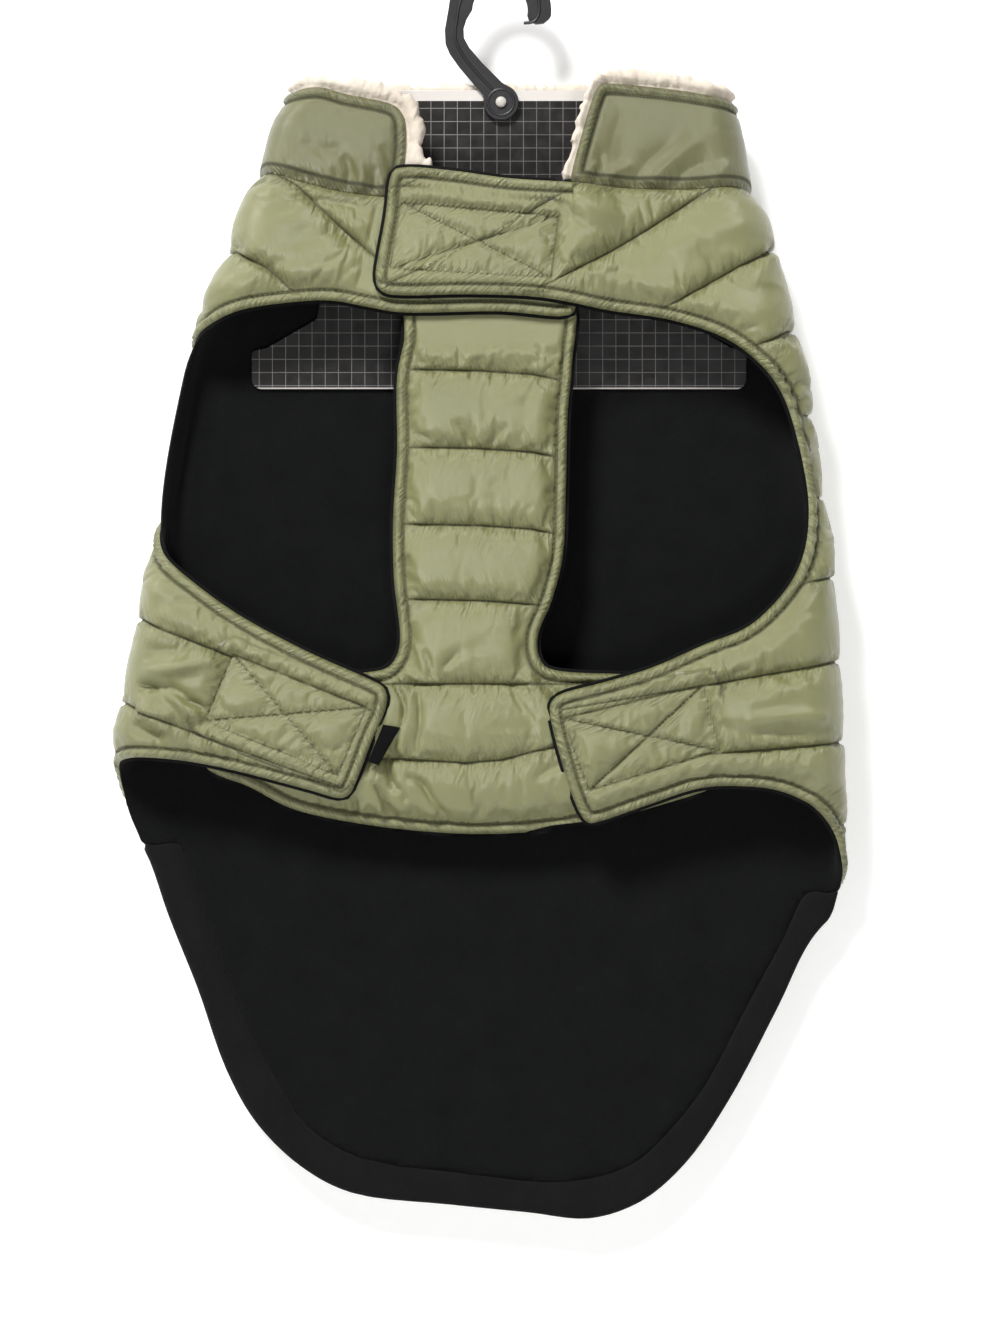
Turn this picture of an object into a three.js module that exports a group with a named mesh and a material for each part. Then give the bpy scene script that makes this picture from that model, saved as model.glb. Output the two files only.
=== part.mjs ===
import * as THREE from "three";

// Dog winter coat on a card hanger, in millimetres, with +Z up and the chest facing -Y.
// The origin is the rail's place inside the hook, so the coat hangs below zero.

const SEAM = 2.2;
const PUFF = 4.4;
const LINING = 2;
const GAP = 0.3;
const LIP = 1.5;
const SHERPA = 6;
const LAP_LIFT = 6.1;
const CHEST_DEPTH = 9.2;

function table(names, rows) {
  const entry = (row) => Object.fromEntries(names.map((name, i) => [name, row[i]]));
  return rows.map(entry);
}

const outline = (rows) => table(["x", "z"], rows);

// The flattened tube: inner faces of the side folds, the back's plane, half the depth,
// and how far the belly stands forward.
const SECTION = table(["z", "left", "right", "back", "half", "belly"], [
  [-30, -98, 110, 10.3, 16, 0],
  [-56, -104, 115.5, 10.3, 16, 0],
  [-69, -111.5, 119, 10.3, 16, 0],
  [-102, -119.5, 123.5, 10.3, 16, 0],
  [-120, -125.5, 126.5, 10.3, 16, 0],
  [-135, -131, 133, 9, 16, 0],
  [-163, -142.5, 140, 6.25, 17, 0],
  [-188, -157, 146.5, 6.25, 18, 1],
  [-213, -162.5, 151, 6.25, 18, 2],
  [-238, -167.5, 154.5, 6.25, 18, 3],
  [-263, -171, 158.5, 6.25, 18, 3],
  [-288, -171.5, 162.5, 6.25, 18, 4],
  [-338, -180.5, 166.5, 6.25, 18, 4],
  [-363, -185.5, 167.5, 6.25, 18, 4],
  [-395, -192.5, 168, 6.25, 17, 4],
  [-440, -192.5, 172, 6.25, 12, 3],
  [-480, -192.5, 178, 6.25, 9, 0],
  [-660, -192.5, 180, 6.25, 8, 0],
]);

function level(name, z) {
  if (z >= SECTION[0].z) return SECTION[0][name];
  const next = SECTION.findIndex((row) => row.z <= z);
  if (next < 0) return SECTION[SECTION.length - 1][name];
  const above = SECTION[next - 1];
  const below = SECTION[next];
  const share = (above.z - z) / (above.z - below.z);
  return above[name] + (below[name] - above[name]) * share;
}

function eased(name, z) {
  return [-10, -5, 0, 5, 10].reduce((sum, step) => sum + level(name, z + step), 0) / 5;
}

function section(z) {
  const left = eased("left", z);
  const right = eased("right", z);
  const half = eased("half", z);
  return {
    centre: (left + right) / 2,
    flat: (right - left) / 2 - half,
    back: eased("back", z),
    half,
    belly: eased("belly", z),
  };
}

const clamp01 = (t) => Math.min(1, Math.max(0, t));
const smooth = (t) => clamp01(t) ** 2 * (3 - 2 * clamp01(t));

// Cloth is laid out flat by u, which runs from the back's centre round to the front:
// 150 across each half of the back, 60 round a fold, then 150 to the front's centre.
const BACK = 150;
const FOLD = 60;
const FRONT = BACK + FOLD;

function frontFace(x, z, out) {
  const s = section(z);
  const across = clamp01(Math.abs(x - s.centre) / s.flat);
  return new THREE.Vector3(x, s.back - 2 * s.half - s.belly * (1 - across ** 2) - out, z);
}

function onCoat(u, z, out) {
  const s = section(z);
  const hand = u < 0 ? -1 : 1;
  const run = Math.abs(u);
  if (run <= BACK) return new THREE.Vector3(s.centre + (s.flat * u) / BACK, s.back + out, z);
  if (run < FRONT) {
    const turn = (Math.PI * (run - BACK)) / FOLD;
    const x = s.centre + hand * (s.flat + (s.half + out) * Math.sin(turn));
    return new THREE.Vector3(x, s.back - s.half + (s.half + out) * Math.cos(turn), z);
  }
  const x = s.centre + hand * (s.flat - (s.flat * (run - FRONT)) / BACK);
  const lap = hand > 0 ? LAP_LIFT * smooth((62 - x) / 24) * smooth((z + 290) / 60) : 0;
  return frontFace(x, z, out + lap);
}

function fromFront(hand, rows) {
  return rows.map(({ x, z }) => {
    const s = section(z);
    const past = hand * (x - s.centre) - s.flat;
    if (past <= 0) return [hand * (FRONT - (BACK * past) / s.flat), z];
    const turn = Math.PI - Math.asin(Math.min(1, past / s.half));
    return [hand * (BACK + (FOLD * turn) / Math.PI), z];
  });
}

function fromBack(rows) {
  return rows.map(({ x, z }) => {
    const s = section(z);
    const hand = x < s.centre ? -1 : 1;
    const past = Math.abs(x - s.centre) - s.flat;
    if (past <= 0) return [(BACK * (x - s.centre)) / s.flat, z];
    const turn = Math.asin(Math.min(1, past / s.half));
    return [hand * (BACK + (FOLD * turn) / Math.PI), z];
  });
}

const NECK_LEFT = outline([[-123, -102], [-116, -99], [-100, -103.5], [-80, -108.5], [-56, -111.5]]);
const UNDERLAP = outline([
  [-20, -114], [37.5, -118], [37.5, -171], [0, -169], [-50, -169.5], [-65, -167], [-85, -163.5],
  [-105, -164.5], [-130, -168.5], [-145, -175],
]);
const LEFT_FLAP = outline([
  [-168.5, -289.5], [-157.5, -300.5], [-132.5, -319], [-97.5, -338], [-62, -354], [-57, -359],
  [-57.5, -370], [-62.5, -380], [-67.5, -393], [-74.5, -409], [-80, -411.5], [-95, -408],
  [-125, -400], [-145, -395.5],
  [-165, -392.5], [-185, -392],
]);
const TAIL = outline([
  [-187.5, -420.5], [-179, -439], [-167.5, -470.5], [-152.5, -508], [-137.5, -550.5],
  [-122.5, -577], [-100, -599], [-75, -612], [-25, -618], [15, -622], [45, -625], [70, -617],
  [92.5, -598], [115, -565.5], [140, -518], [157.5, -483], [171, -462],
]);
const RIGHT_FLAP = outline([
  [169, -432], [157.5, -417], [140, -408.5], [120, -406], [100, -407], [75, -415], [47, -423.5],
  [42, -422], [30, -391.5], [24.5, -364], [28, -359.5],
]);
const RIGHT_ARMHOLE = outline([
  [75, -347], [102.5, -335], [122.5, -327], [137.5, -314], [148.5, -298], [154, -278],
  [154, -258], [148, -229.5], [137.5, -204.5], [117.5, -185.5], [90, -174.5], [50, -168],
  [20, -162.5],
]);
const TAB = outline([
  [-15, -161], [-52, -162], [-60, -158], [-62, -150], [-57, -125.5], [-53.5, -101], [-48, -97],
  [-25, -98.5], [5, -102.5],
]);
const NECK_RIGHT = outline([[37.5, -104.5], [65, -107], [95, -107.5], [120, -106.5], [127, -111]]);
const NECK_BACK = [[150, -110], [60, -107], [-60, -105], [-150, -103]];

const SHELL = [
  ...fromFront(-1, NECK_LEFT),
  ...fromFront(-1, UNDERLAP),
  [-176, -184], [-166, -192], [-160, -202], [-160, -258], [-166, -268], [-176, -275],
  ...fromFront(-1, LEFT_FLAP),
  [-180, -397],
  ...fromBack(TAIL),
  [180, -448],
  ...fromFront(1, RIGHT_FLAP),
  ...fromFront(1, RIGHT_ARMHOLE),
  ...fromFront(1, TAB),
  ...fromFront(1, NECK_RIGHT),
  ...NECK_BACK,
];

// The lining shows at the left fold, where the shell stops short behind the armhole.
const LINING_CUT = SHELL.map(([u, z]) => (u === -160 ? [-176, z] : [u, z]));

const FACING_SEAM = outline([
  [-176.5, -445], [-166, -450], [-159, -458], [-154, -467], [-146, -486], [-131.5, -522.5],
  [-113.5, -556.5], [-97.5, -580],
  [-71.5, -595.5], [-19, -603.5], [25.5, -608], [51.5, -605], [70, -597], [85.5, -582.5],
  [104, -559], [122, -525], [143, -486], [152.5, -472], [167, -469],
]);
const FACING = [[-215, -444], ...fromBack(FACING_SEAM), [215, -469], [215, -690], [-215, -690]];

const COLLAR_LEFT_END = outline([[-54, -110], [-50, -103], [-47, -85.5], [-47.5, -72], [-52.5, -66]]);
const COLLAR_LEFT_TOP = outline([[-77.5, -59.5], [-92, -56]]);
const COLLAR_RIGHT_TOP = outline([[110, -61], [95, -58.5], [70, -55.5], [53, -54.5]]);
const COLLAR_RIGHT_END = outline([[47, -59], [41.5, -78], [35.5, -104]]);
const COLLAR = [
  ...fromFront(-1, COLLAR_LEFT_END),
  ...fromFront(-1, COLLAR_LEFT_TOP),
  [-180, -58], [-150, -56], [0, -55], [150, -60], [180, -63],
  ...fromFront(1, COLLAR_RIGHT_TOP),
  ...fromFront(1, COLLAR_RIGHT_END),
  ...fromFront(1, NECK_RIGHT),
  ...NECK_BACK,
  ...fromFront(-1, NECK_LEFT),
];

const SHERPA_LEFT = outline([
  [-40, -113], [-38.5, -94], [-38.5, -77.5], [-41, -63], [-48.5, -58], [-59.5, -54], [-81, -51.5],
  [-98, -50.5],
]);
const SHERPA_RIGHT = outline([
  [112, -54.5], [90, -50.2], [75.5, -49], [60, -48.5], [49, -51.5], [43, -60], [37.5, -80],
  [31.5, -104],
]);
const SHERPA_CUT = [
  ...fromFront(-1, SHERPA_LEFT),
  [-180, -52], [-150, -51], [0, -51], [150, -54], [180, -56],
  ...fromFront(1, SHERPA_RIGHT),
  ...fromFront(1, NECK_RIGHT),
  ...NECK_BACK,
  ...fromFront(-1, NECK_LEFT),
];

const CHEST = outline([
  [-45, -159], [-48, -183], [-51.5, -200.5], [-51.5, -238], [-53.5, -273], [-53, -303],
  [-50, -333], [-52.5, -343], [-61, -348.5], [-95, -351], [-135, -356], [-146, -366],
  [-149, -395], [-125, -407], [-105, -417.5], [-75, -424.5], [-40, -429], [-10, -430.5],
  [20, -429], [50, -424], [80, -416], [105, -408], [130, -396], [133, -376], [118, -356],
  [70, -350.5], [30, -348.5], [20.5, -344], [19, -330.5], [26, -313], [31.5, -290.5], [33, -258],
  [34, -218], [36, -195.5], [34.5, -159],
]).map(({ x, z }) => [x, z]);

// Signed distance to a closed outline, negative inside.
function distance(cut, u, z) {
  let nearest = Infinity;
  let inside = false;
  for (let i = 0, j = cut.length - 1; i < cut.length; j = i, i += 1) {
    const [au, az] = cut[i];
    const [bu, bz] = cut[j];
    const eu = bu - au;
    const ez = bz - az;
    const t = clamp01(((u - au) * eu + (z - az) * ez) / (eu * eu + ez * ez || 1));
    nearest = Math.min(nearest, Math.hypot(u - au - t * eu, z - az - t * ez));
    if (az > z !== bz > z && u < au + ((z - az) / ez) * eu) inside = !inside;
  }
  return inside ? -nearest : nearest;
}

// Cuts a grid of cloth to an outline. Corners close to the outline are moved onto it.
function cutGrid(columns, rows, place, away) {
  const points = [];
  const crossings = new Map();
  const grid = columns.map((u, i) =>
    rows.map((row, j) => {
      const reach = (Math.abs(u) > BACK && Math.abs(u) < FRONT ? 0.1 : 0.3) * Math.min(
        Math.abs(u - (columns[i - 1] ?? columns[i + 1])),
        Math.abs(row - (rows[j - 1] ?? rows[j + 1])),
      );
      const point = { ...place(u, row), row };
      point.d = away(point.u, point.z);
      for (let pass = 0; pass < 3 && Math.abs(point.d) < reach && point.d !== 0; pass += 1) {
        const du = away(point.u + 0.1, point.z) - away(point.u - 0.1, point.z);
        const dz = away(point.u, point.z + 0.1) - away(point.u, point.z - 0.1);
        const size = Math.hypot(du, dz) || 1;
        point.u -= (point.d * du) / size;
        point.z -= (point.d * dz) / size;
        point.d = pass === 2 ? 0 : away(point.u, point.z);
        if (Math.abs(point.d) < 0.02) point.d = 0;
      }
      points.push(point);
      return points.length - 1;
    }),
  );

  function crossing(a, b) {
    const key = a < b ? `${a}_${b}` : `${b}_${a}`;
    if (!crossings.has(key)) {
      const inner = points[a].d < 0 ? points[a] : points[b];
      const outer = points[a].d < 0 ? points[b] : points[a];
      const mix = (t) => ({
        u: inner.u + (outer.u - inner.u) * t,
        z: inner.z + (outer.z - inner.z) * t,
        row: inner.row + (outer.row - inner.row) * t,
        d: 0,
      });
      let low = 0;
      let high = 1;
      for (let step = 0; step < 12; step += 1) {
        const middle = mix((low + high) / 2);
        if (away(middle.u, middle.z) < 0) low = (low + high) / 2;
        else high = (low + high) / 2;
      }
      points.push(mix(Math.min(0.92, Math.max(0.08, (low + high) / 2))));
      crossings.set(key, points.length - 1);
    }
    return crossings.get(key);
  }

  const faces = [];
  for (let i = 0; i + 1 < columns.length; i += 1) {
    for (let j = 0; j + 1 < rows.length; j += 1) {
      const ring = [grid[i][j], grid[i + 1][j], grid[i + 1][j + 1], grid[i][j + 1]];
      if (ring.some((corner) => points[corner].d < 0)) {
        const kept = [];
        ring.forEach((corner, k) => {
          const next = ring[(k + 1) % 4];
          if (points[corner].d <= 0) kept.push(corner);
          if (points[corner].d * points[next].d < 0) kept.push(crossing(corner, next));
        });
        const turn = kept.length === 4 && (i + j) % 2 ? 1 : 0;
        for (let k = 1; k + 1 < kept.length; k += 1) {
          faces.push([kept[turn], kept[(turn + k) % kept.length], kept[(turn + k + 1) % kept.length]]);
        }
      }
    }
  }
  return { points, faces };
}

// Gives a cut grid its thickness: outer points, inner points and a rim.
function thicken(cut, outer, inner) {
  const used = [...new Set(cut.faces.flat())];
  const slot = new Map(used.map((point, i) => [point, i]));
  const places = [
    ...used.map((point) => outer(cut.points[point])),
    ...used.map((point) => inner(cut.points[point])),
  ];
  const lower = used.length;
  const edges = new Set();
  const index = [];
  for (const face of cut.faces) {
    const [a, b, c] = face.map((point) => slot.get(point));
    index.push(a, b, c, lower + c, lower + b, lower + a);
    for (const [from, to] of [[a, b], [b, c], [c, a]]) {
      if (!edges.delete(`${to}_${from}`)) edges.add(`${from}_${to}`);
    }
  }
  for (const edge of edges) {
    const [from, to] = edge.split("_").map(Number);
    index.push(from, lower + from, lower + to, from, lower + to, to);
  }
  let volume = 0;
  for (let i = 0; i < index.length; i += 3) {
    const [a, b, c] = [places[index[i]], places[index[i + 1]], places[index[i + 2]]];
    volume += a.dot(b.clone().cross(c));
  }
  if (volume < 0) index.reverse();
  const geometry = new THREE.BufferGeometry().setFromPoints(places);
  geometry.setIndex(index);
  geometry.computeVertexNormals();
  return geometry;
}

function spread(from, to, count) {
  return Array.from({ length: count + 1 }, (_, i) => from + ((to - from) * i) / count);
}

// Quilting lines, by their height on the right fold, and two rows between each pair.
const QUILTING = [
  26, -6, -56, -97, -138, -178.5, -220.5, -261.5, -302, -344, -384.5, -426, -467, -508, -549,
  -590, -631, -672,
];
const CHEST_QUILTING = [-120, -159, -199, -238, -276.5, -314, -355, -393.5, -433];

function rowsBetween(lines, parts) {
  return lines.slice(1).flatMap((line, i) => spread(lines[i], line, parts).slice(i ? 1 : 0));
}

function puffed(lines, row) {
  return clamp01(Math.min(...lines.map((line) => Math.abs(row - line))) / 12);
}

// The quilting drops a little to the left across the back, and more on each front.
function quiltPlace(u, row) {
  const tilt = -10.5 * (1 - Math.min(180, Math.max(-180, u)) / 180) * clamp01((-130 - row) / 170);
  const past = Math.max(0, Math.abs(u) - 190);
  const low = clamp01((-150 - row) / 150);
  const leftSlope = 0.55 - 0.17 * low;
  const rightSlope = 0.42 - 0.24 * low - 0.14 * clamp01((-344 - row) / 60);
  const lift = 5 * (1 - low) * clamp01((-185 - u) / 30);
  return { u, z: row + tilt + lift - past * (u < 0 ? leftSlope : rightSlope) };
}

const level0 = (u, z) => ({ u, z });

const FRONT_COLUMNS = 15;
function coatColumns(across, from, to) {
  const left = spread(-FRONT - FRONT_COLUMNS * Math.ceil((-from - FRONT) / FRONT_COLUMNS), -FRONT,
    Math.ceil((-from - FRONT) / FRONT_COLUMNS));
  const right = spread(FRONT, FRONT + FRONT_COLUMNS * Math.ceil((to - FRONT) / FRONT_COLUMNS),
    Math.ceil((to - FRONT) / FRONT_COLUMNS));
  return [
    ...left,
    ...spread(-FRONT, -BACK, 6).slice(1, -1),
    ...across,
    ...spread(BACK, FRONT, 6).slice(1, -1),
    ...right,
  ];
}

const LINING_ACROSS = [-150, -137, -124, -98, -74, -48, -24, 0, 24, 48, 74, 98, 124, 137, 150];
const coatRows = rowsBetween(QUILTING, 3);
const chestRows = rowsBetween(CHEST_QUILTING, 3);
const offset = (cut, out) => (u, z) => distance(cut, u, z) - out;

function shellThickness({ u, z, row, d }) {
  const edge = clamp01(-(d === 0 ? 0 : distance(SHELL, u, z)) / 10);
  const lap = u < -262 ? 1 - 0.8 * smooth((-262 - u) / 20) : 1;
  const tab = u > 330 && z > -200 ? 0.6 : 1;
  return SEAM + PUFF * lap * tab * edge * puffed(QUILTING, row);
}

function cloth(name, colour, geometry, roughness) {
  const material = new THREE.MeshStandardMaterial({ color: colour, roughness, metalness: 0 });
  material.name = name;
  const mesh = new THREE.Mesh(geometry, material);
  mesh.name = name;
  return mesh;
}

function bodyShell() {
  const cut = cutGrid(coatColumns(spread(-BACK, BACK, 12), -430, 440), coatRows, quiltPlace, offset(SHELL, 0));
  return thicken(cut, (p) => onCoat(p.u, p.z, shellThickness(p)), (p) => onCoat(p.u, p.z, 0));
}

function bodyLining() {
  const away = (u, z) => Math.max(
    distance(LINING_CUT, u, z) - LIP,
    0.75 - distance(FACING, u, z),
    neckAway(u, z),
  );
  const cut = cutGrid(coatColumns(LINING_ACROSS, -435, 445), coatRows, quiltPlace, away);
  return thicken(cut, (p) => onCoat(p.u, p.z, -GAP), (p) => onCoat(p.u, p.z, -GAP - LINING));
}

// Keeps the lining's lip below the collar where the two meet at the neck seam.
const NECK_KEEP = [...fromFront(-1, NECK_LEFT), ...fromFront(1, NECK_RIGHT), ...NECK_BACK];
function neckAway(u, z) {
  const onNeck = u > -320 && u < 322;
  return onNeck && z > -125 ? distance(SHELL, u, z) + 0.2 : -50;
}

function tailFacing() {
  const away = (u, z) => Math.max(distance(SHELL, u, z) - LIP, distance(FACING, u, z) + 0.25);
  const cut = cutGrid(spread(-212, 212, 58), spread(-425, -635, 29), level0, away);
  return thicken(cut, (p) => onCoat(p.u, p.z, -GAP), (p) => onCoat(p.u, p.z, -GAP - LINING));
}

function collarShell() {
  const away = (u, z) => Math.max(distance(COLLAR, u, z), 0.6 - distance(SHELL, u, z));
  const cut = cutGrid(coatColumns(spread(-BACK, BACK, 12), -320, 340), spread(-130, -40, 9), level0, away);
  const thick = (p) => SEAM + 1.2 * clamp01(-away(p.u, p.z) / 8);
  return thicken(cut, (p) => onCoat(p.u, p.z, thick(p)), (p) => onCoat(p.u, p.z, 0));
}

function collarSherpa() {
  const away = (u, z) => Math.max(distance(SHERPA_CUT, u, z), 0.6 - distance(SHELL, u, z));
  const cut = cutGrid(coatColumns(spread(-BACK, BACK, 12), -330, 350), spread(-130, -40, 9), level0, away);
  return thicken(cut, (p) => onCoat(p.u, p.z, -GAP), (p) => onCoat(p.u, p.z, -GAP - SHERPA));
}

// The chest strip's top is sewn behind the underlap, and the rest hangs a little deeper.
function chestBase(z) {
  return -CHEST_DEPTH + (CHEST_DEPTH - LINING - 2 * GAP - SEAM) * smooth((z + 200) / 30);
}

function chestPanel() {
  const away = (x, z) => distance(CHEST, x, z);
  const cut = cutGrid(spread(-156, 144, 25), chestRows, level0, away);
  const room = (z) => PUFF * (1 - smooth((z + 200) / 30));
  const puff = (p) => room(p.z) * clamp01(-away(p.u, p.z) / 10) * puffed(CHEST_QUILTING, p.row);
  return thicken(
    cut,
    (p) => frontFace(p.u, p.z, chestBase(p.z) + SEAM + puff(p)),
    (p) => frontFace(p.u, p.z, chestBase(p.z)),
  );
}

function chestLining() {
  const away = (x, z) => distance(CHEST, x, z) - LIP;
  const cut = cutGrid(spread(-160, 148, 22), chestRows, level0, away);
  return thicken(
    cut,
    (p) => frontFace(p.u, p.z, chestBase(p.z) - GAP),
    (p) => frontFace(p.u, p.z, chestBase(p.z) - GAP - LINING),
  );
}

// Flat plates stand upright, facing the front, with their back face at y.
function plate(rows, holes, y, thick) {
  const shape = new THREE.Shape(rows.map(({ x, z }) => new THREE.Vector2(x, z)));
  shape.holes = holes;
  const geometry = new THREE.ExtrudeGeometry(shape, { depth: thick, bevelEnabled: false, curveSegments: 10 });
  geometry.rotateX(Math.PI / 2);
  geometry.translate(0, y, 0);
  return geometry;
}

const LABEL = outline([[-57.8, -375.5], [-49.5, -376.5], [-60.5, -395.5], [-65.3, -394]]);
const CARD = outline([
  [-68.5, -54], [67.5, -54], [92, -170], [119, -185.5], [124, -190], [125, -195], [125, -205.5],
  [-126, -205.5], [-126, -195], [-125, -190], [-120, -185.5], [-93, -170],
]);
const CARD_BACK = 3.65;
const CARD_THICK = 1.6;
const HOOK_THICK = 3.5;

function arc(cx, cz, radius, from, to, steps) {
  return spread(from, to, steps).map((degrees) => {
    const angle = (degrees * Math.PI) / 180;
    return { x: cx + radius * Math.cos(angle), z: cz + radius * Math.sin(angle) };
  });
}

function hookRows() {
  return [
    ...arc(0, -14, 26, 176, -8, 18),
    { x: 24.5, z: -19 },
    { x: 19, z: -21 },
    { x: 14, z: -18.5 },
    ...arc(0, -14, 14, -8, 178, 14),
    ...outline([[-17.5, -19.5], [-18.5, -26], [-15.5, -33], [-9, -40.5], [1, -50.5]]),
    ...arc(0.5, -60.5, 9, 70, -200, 22),
    ...outline([[-14, -50.5], [-20.5, -43], [-26.5, -34.5], [-28, -26]]),
  ];
}

const coat = new THREE.Group();
coat.name = "dog_winter_coat";
coat.add(cloth("body_shell", 0xa0a075, bodyShell(), 0.45));
coat.add(cloth("body_lining", 0x161616, bodyLining(), 0.95));
coat.add(cloth("tail_facing", 0x1c1c1c, tailFacing(), 0.95));
coat.add(cloth("collar_shell", 0x9a9a70, collarShell(), 0.45));
coat.add(cloth("collar_sherpa", 0xf6eddd, collarSherpa(), 1));
coat.add(cloth("chest_panel", 0xa0a075, chestPanel(), 0.45));
coat.add(cloth("chest_lining", 0x161616, chestLining(), 0.95));
coat.add(cloth("side_label", 0x101010, plate(LABEL, [], -31.2, 1), 0.7));
coat.add(cloth("hanger_card", 0x1a1a1a, plate(CARD, [], CARD_BACK, CARD_THICK), 0.6));
coat.add(cloth("hanger_hook", 0x2c2c2e, plate(hookRows(), [], HOOK_THICK / 2, HOOK_THICK), 0.4));

const head = new THREE.LatheGeometry(
  [[0, 0], [2.75, 0], [2.6, 0.6], [1.6, 1.1], [0, 1.3]].map(([r, h]) => new THREE.Vector2(r, h)),
  16,
);
head.rotateX(Math.PI);
head.translate(0.5, -HOOK_THICK / 2 - GAP, -60.5);
coat.add(cloth("hanger_rivet", 0xb8b8b8, head, 0.4));

export default coat;
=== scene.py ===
import math

import bpy
import numpy as np
from mathutils.bvhtree import BVHTree
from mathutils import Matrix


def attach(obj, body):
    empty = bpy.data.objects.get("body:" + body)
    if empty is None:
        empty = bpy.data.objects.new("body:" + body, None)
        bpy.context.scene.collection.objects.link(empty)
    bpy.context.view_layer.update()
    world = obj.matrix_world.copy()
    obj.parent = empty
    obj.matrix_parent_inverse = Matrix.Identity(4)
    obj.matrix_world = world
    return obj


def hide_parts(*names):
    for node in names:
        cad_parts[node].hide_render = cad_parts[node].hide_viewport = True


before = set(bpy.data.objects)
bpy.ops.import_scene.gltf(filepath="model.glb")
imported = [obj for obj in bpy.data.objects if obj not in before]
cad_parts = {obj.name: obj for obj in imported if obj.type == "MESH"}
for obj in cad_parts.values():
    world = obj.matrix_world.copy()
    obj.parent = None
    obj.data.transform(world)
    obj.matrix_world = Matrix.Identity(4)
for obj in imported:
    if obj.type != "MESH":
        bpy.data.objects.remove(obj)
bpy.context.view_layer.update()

# Dog winter coat on a card hanger. Sizes are in millimetres, turned to metres as meshes are made.

MM = 0.001
LINING = 2.0  # thickness of the fleece
GAP = 0.3  # between shell and lining
LIP = 1.6  # how far the lining shows past the shell
TOPSTITCH = 5.2  # from a free edge to its stitching
LAP_LIFT = 6.1  # the tab's side stands this far over the underlap
CHEST_DEPTH = 9.2  # from the fronts back to the chest panel
COAT_PADDING = 4.9  # how far the shell stands out between its seams
CHEST_PADDING = 4.3

# Runs round the tube: the flat back ends at BACK, the fold at FRONT, on either side.
BACK = 150.0
FOLD = 60.0
FRONT = BACK + FOLD
SIDE = 180  # beyond it cloth is measured from the fronts
ON_FRONT = 200
NOWHERE = 1e4  # a place where no crease is

# The flattened tube: z, left fold, right fold, the back's plane, half the depth, belly.
SECTION = np.array([
    (-30, -98, 110, 10.3, 16, 0),
    (-56, -104, 115.5, 10.3, 16, 0),
    (-69, -111.5, 119, 10.3, 16, 0),
    (-102, -119.5, 123.5, 10.3, 16, 0),
    (-120, -125.5, 126.5, 10.3, 16, 0),
    (-135, -131, 133, 9, 16, 0),
    (-163, -142.5, 140, 6.25, 17, 0),
    (-188, -157, 146.5, 6.25, 18, 1),
    (-213, -162.5, 151, 6.25, 18, 2),
    (-238, -167.5, 154.5, 6.25, 18, 3),
    (-263, -171, 158.5, 6.25, 18, 3),
    (-288, -171.5, 162.5, 6.25, 18, 4),
    (-338, -180.5, 166.5, 6.25, 18, 4),
    (-363, -185.5, 167.5, 6.25, 18, 4),
    (-395, -192.5, 168, 6.25, 17, 4),
    (-440, -192.5, 172, 6.25, 12, 3),
    (-480, -192.5, 178, 6.25, 9, 0),
    (-660, -192.5, 180, 6.25, 8, 0),
])[::-1]

NECK_LEFT = [(-123, -102), (-116, -99), (-100, -103.5), (-80, -108.5), (-56, -111.5)]
UNDERLAP = [(-20, -114), (34, -118), (37.5, -122), (37.5, -168), (34, -171), (0, -169),
            (-50, -169.5), (-65, -167), (-85, -163.5), (-105, -164.5), (-130, -168.5),
            (-145, -175)]
LEFT_FLAP = [(-168.5, -289.5), (-157.5, -300.5), (-132.5, -319), (-97.5, -338), (-63, -353.5),
             (-58, -356.5), (-56.2, -361), (-57.5, -369), (-62.5, -380), (-67.5, -393),
             (-73, -406.5), (-75.5, -410.5), (-80, -412), (-95, -408), (-125, -400),
             (-145, -395.5), (-165, -392.5), (-185, -392)]
TAIL = [(-187.5, -420.5), (-179, -439), (-167.5, -470.5), (-152.5, -508), (-137.5, -550.5),
        (-122.5, -577), (-100, -599), (-75, -612), (-25, -618), (15, -622), (45, -625),
        (70, -617), (92.5, -598), (115, -565.5), (140, -518), (157.5, -483), (171, -462)]
RIGHT_FLAP = [(169, -432), (157.5, -417), (140, -408.5), (120, -406), (100, -407), (75, -415),
              (49, -424), (44.5, -424.5), (41, -421.5), (30, -391.5), (24.8, -369),
              (25.5, -364), (29, -360.5)]
RIGHT_ARMHOLE = [(52, -354), (75, -347), (102.5, -335), (122.5, -327), (137.5, -314),
                 (148.5, -298), (154, -278), (154, -258), (148, -229.5), (137.5, -204.5),
                 (117.5, -185.5), (90, -174.5), (50, -168), (20, -162.5)]
TAB = [(-15, -161), (-50, -161.5), (-57, -160.5), (-61, -157), (-62, -151), (-60.5, -140),
       (-57, -120), (-55, -103), (-53, -98.5), (-48, -97), (-25, -98.5), (5, -102.5)]
NECK_RIGHT = [(37.5, -104.5), (65, -107), (95, -107.5), (120, -106.5), (127, -111)]
NECK_BACK = [(150, -110), (60, -107), (-60, -105), (-150, -103)]
FACING_SEAM = [(-176.5, -437), (-163.5, -436), (-161, -441), (-155, -458), (-146, -486),
               (-131.5, -522.5), (-113.5, -556.5), (-97.5, -580), (-71.5, -595.5), (-19, -603.5),
               (25.5, -608), (51.5, -605), (70, -597), (85.5, -582.5), (104, -559), (122, -525),
               (143, -486), (153.5, -463.5), (158, -460.5), (167, -461.5)]
COLLAR_LEFT = [(-54, -110), (-50, -103), (-47, -85.5), (-47.5, -73), (-49.5, -68.5),
               (-53.5, -65), (-77.5, -59.5), (-92, -56)]
COLLAR_RIGHT = [(110, -61), (95, -58.5), (70, -55.5), (54, -54.5), (50, -55.5), (47.5, -59),
                (41.5, -78), (35.5, -104)]
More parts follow.
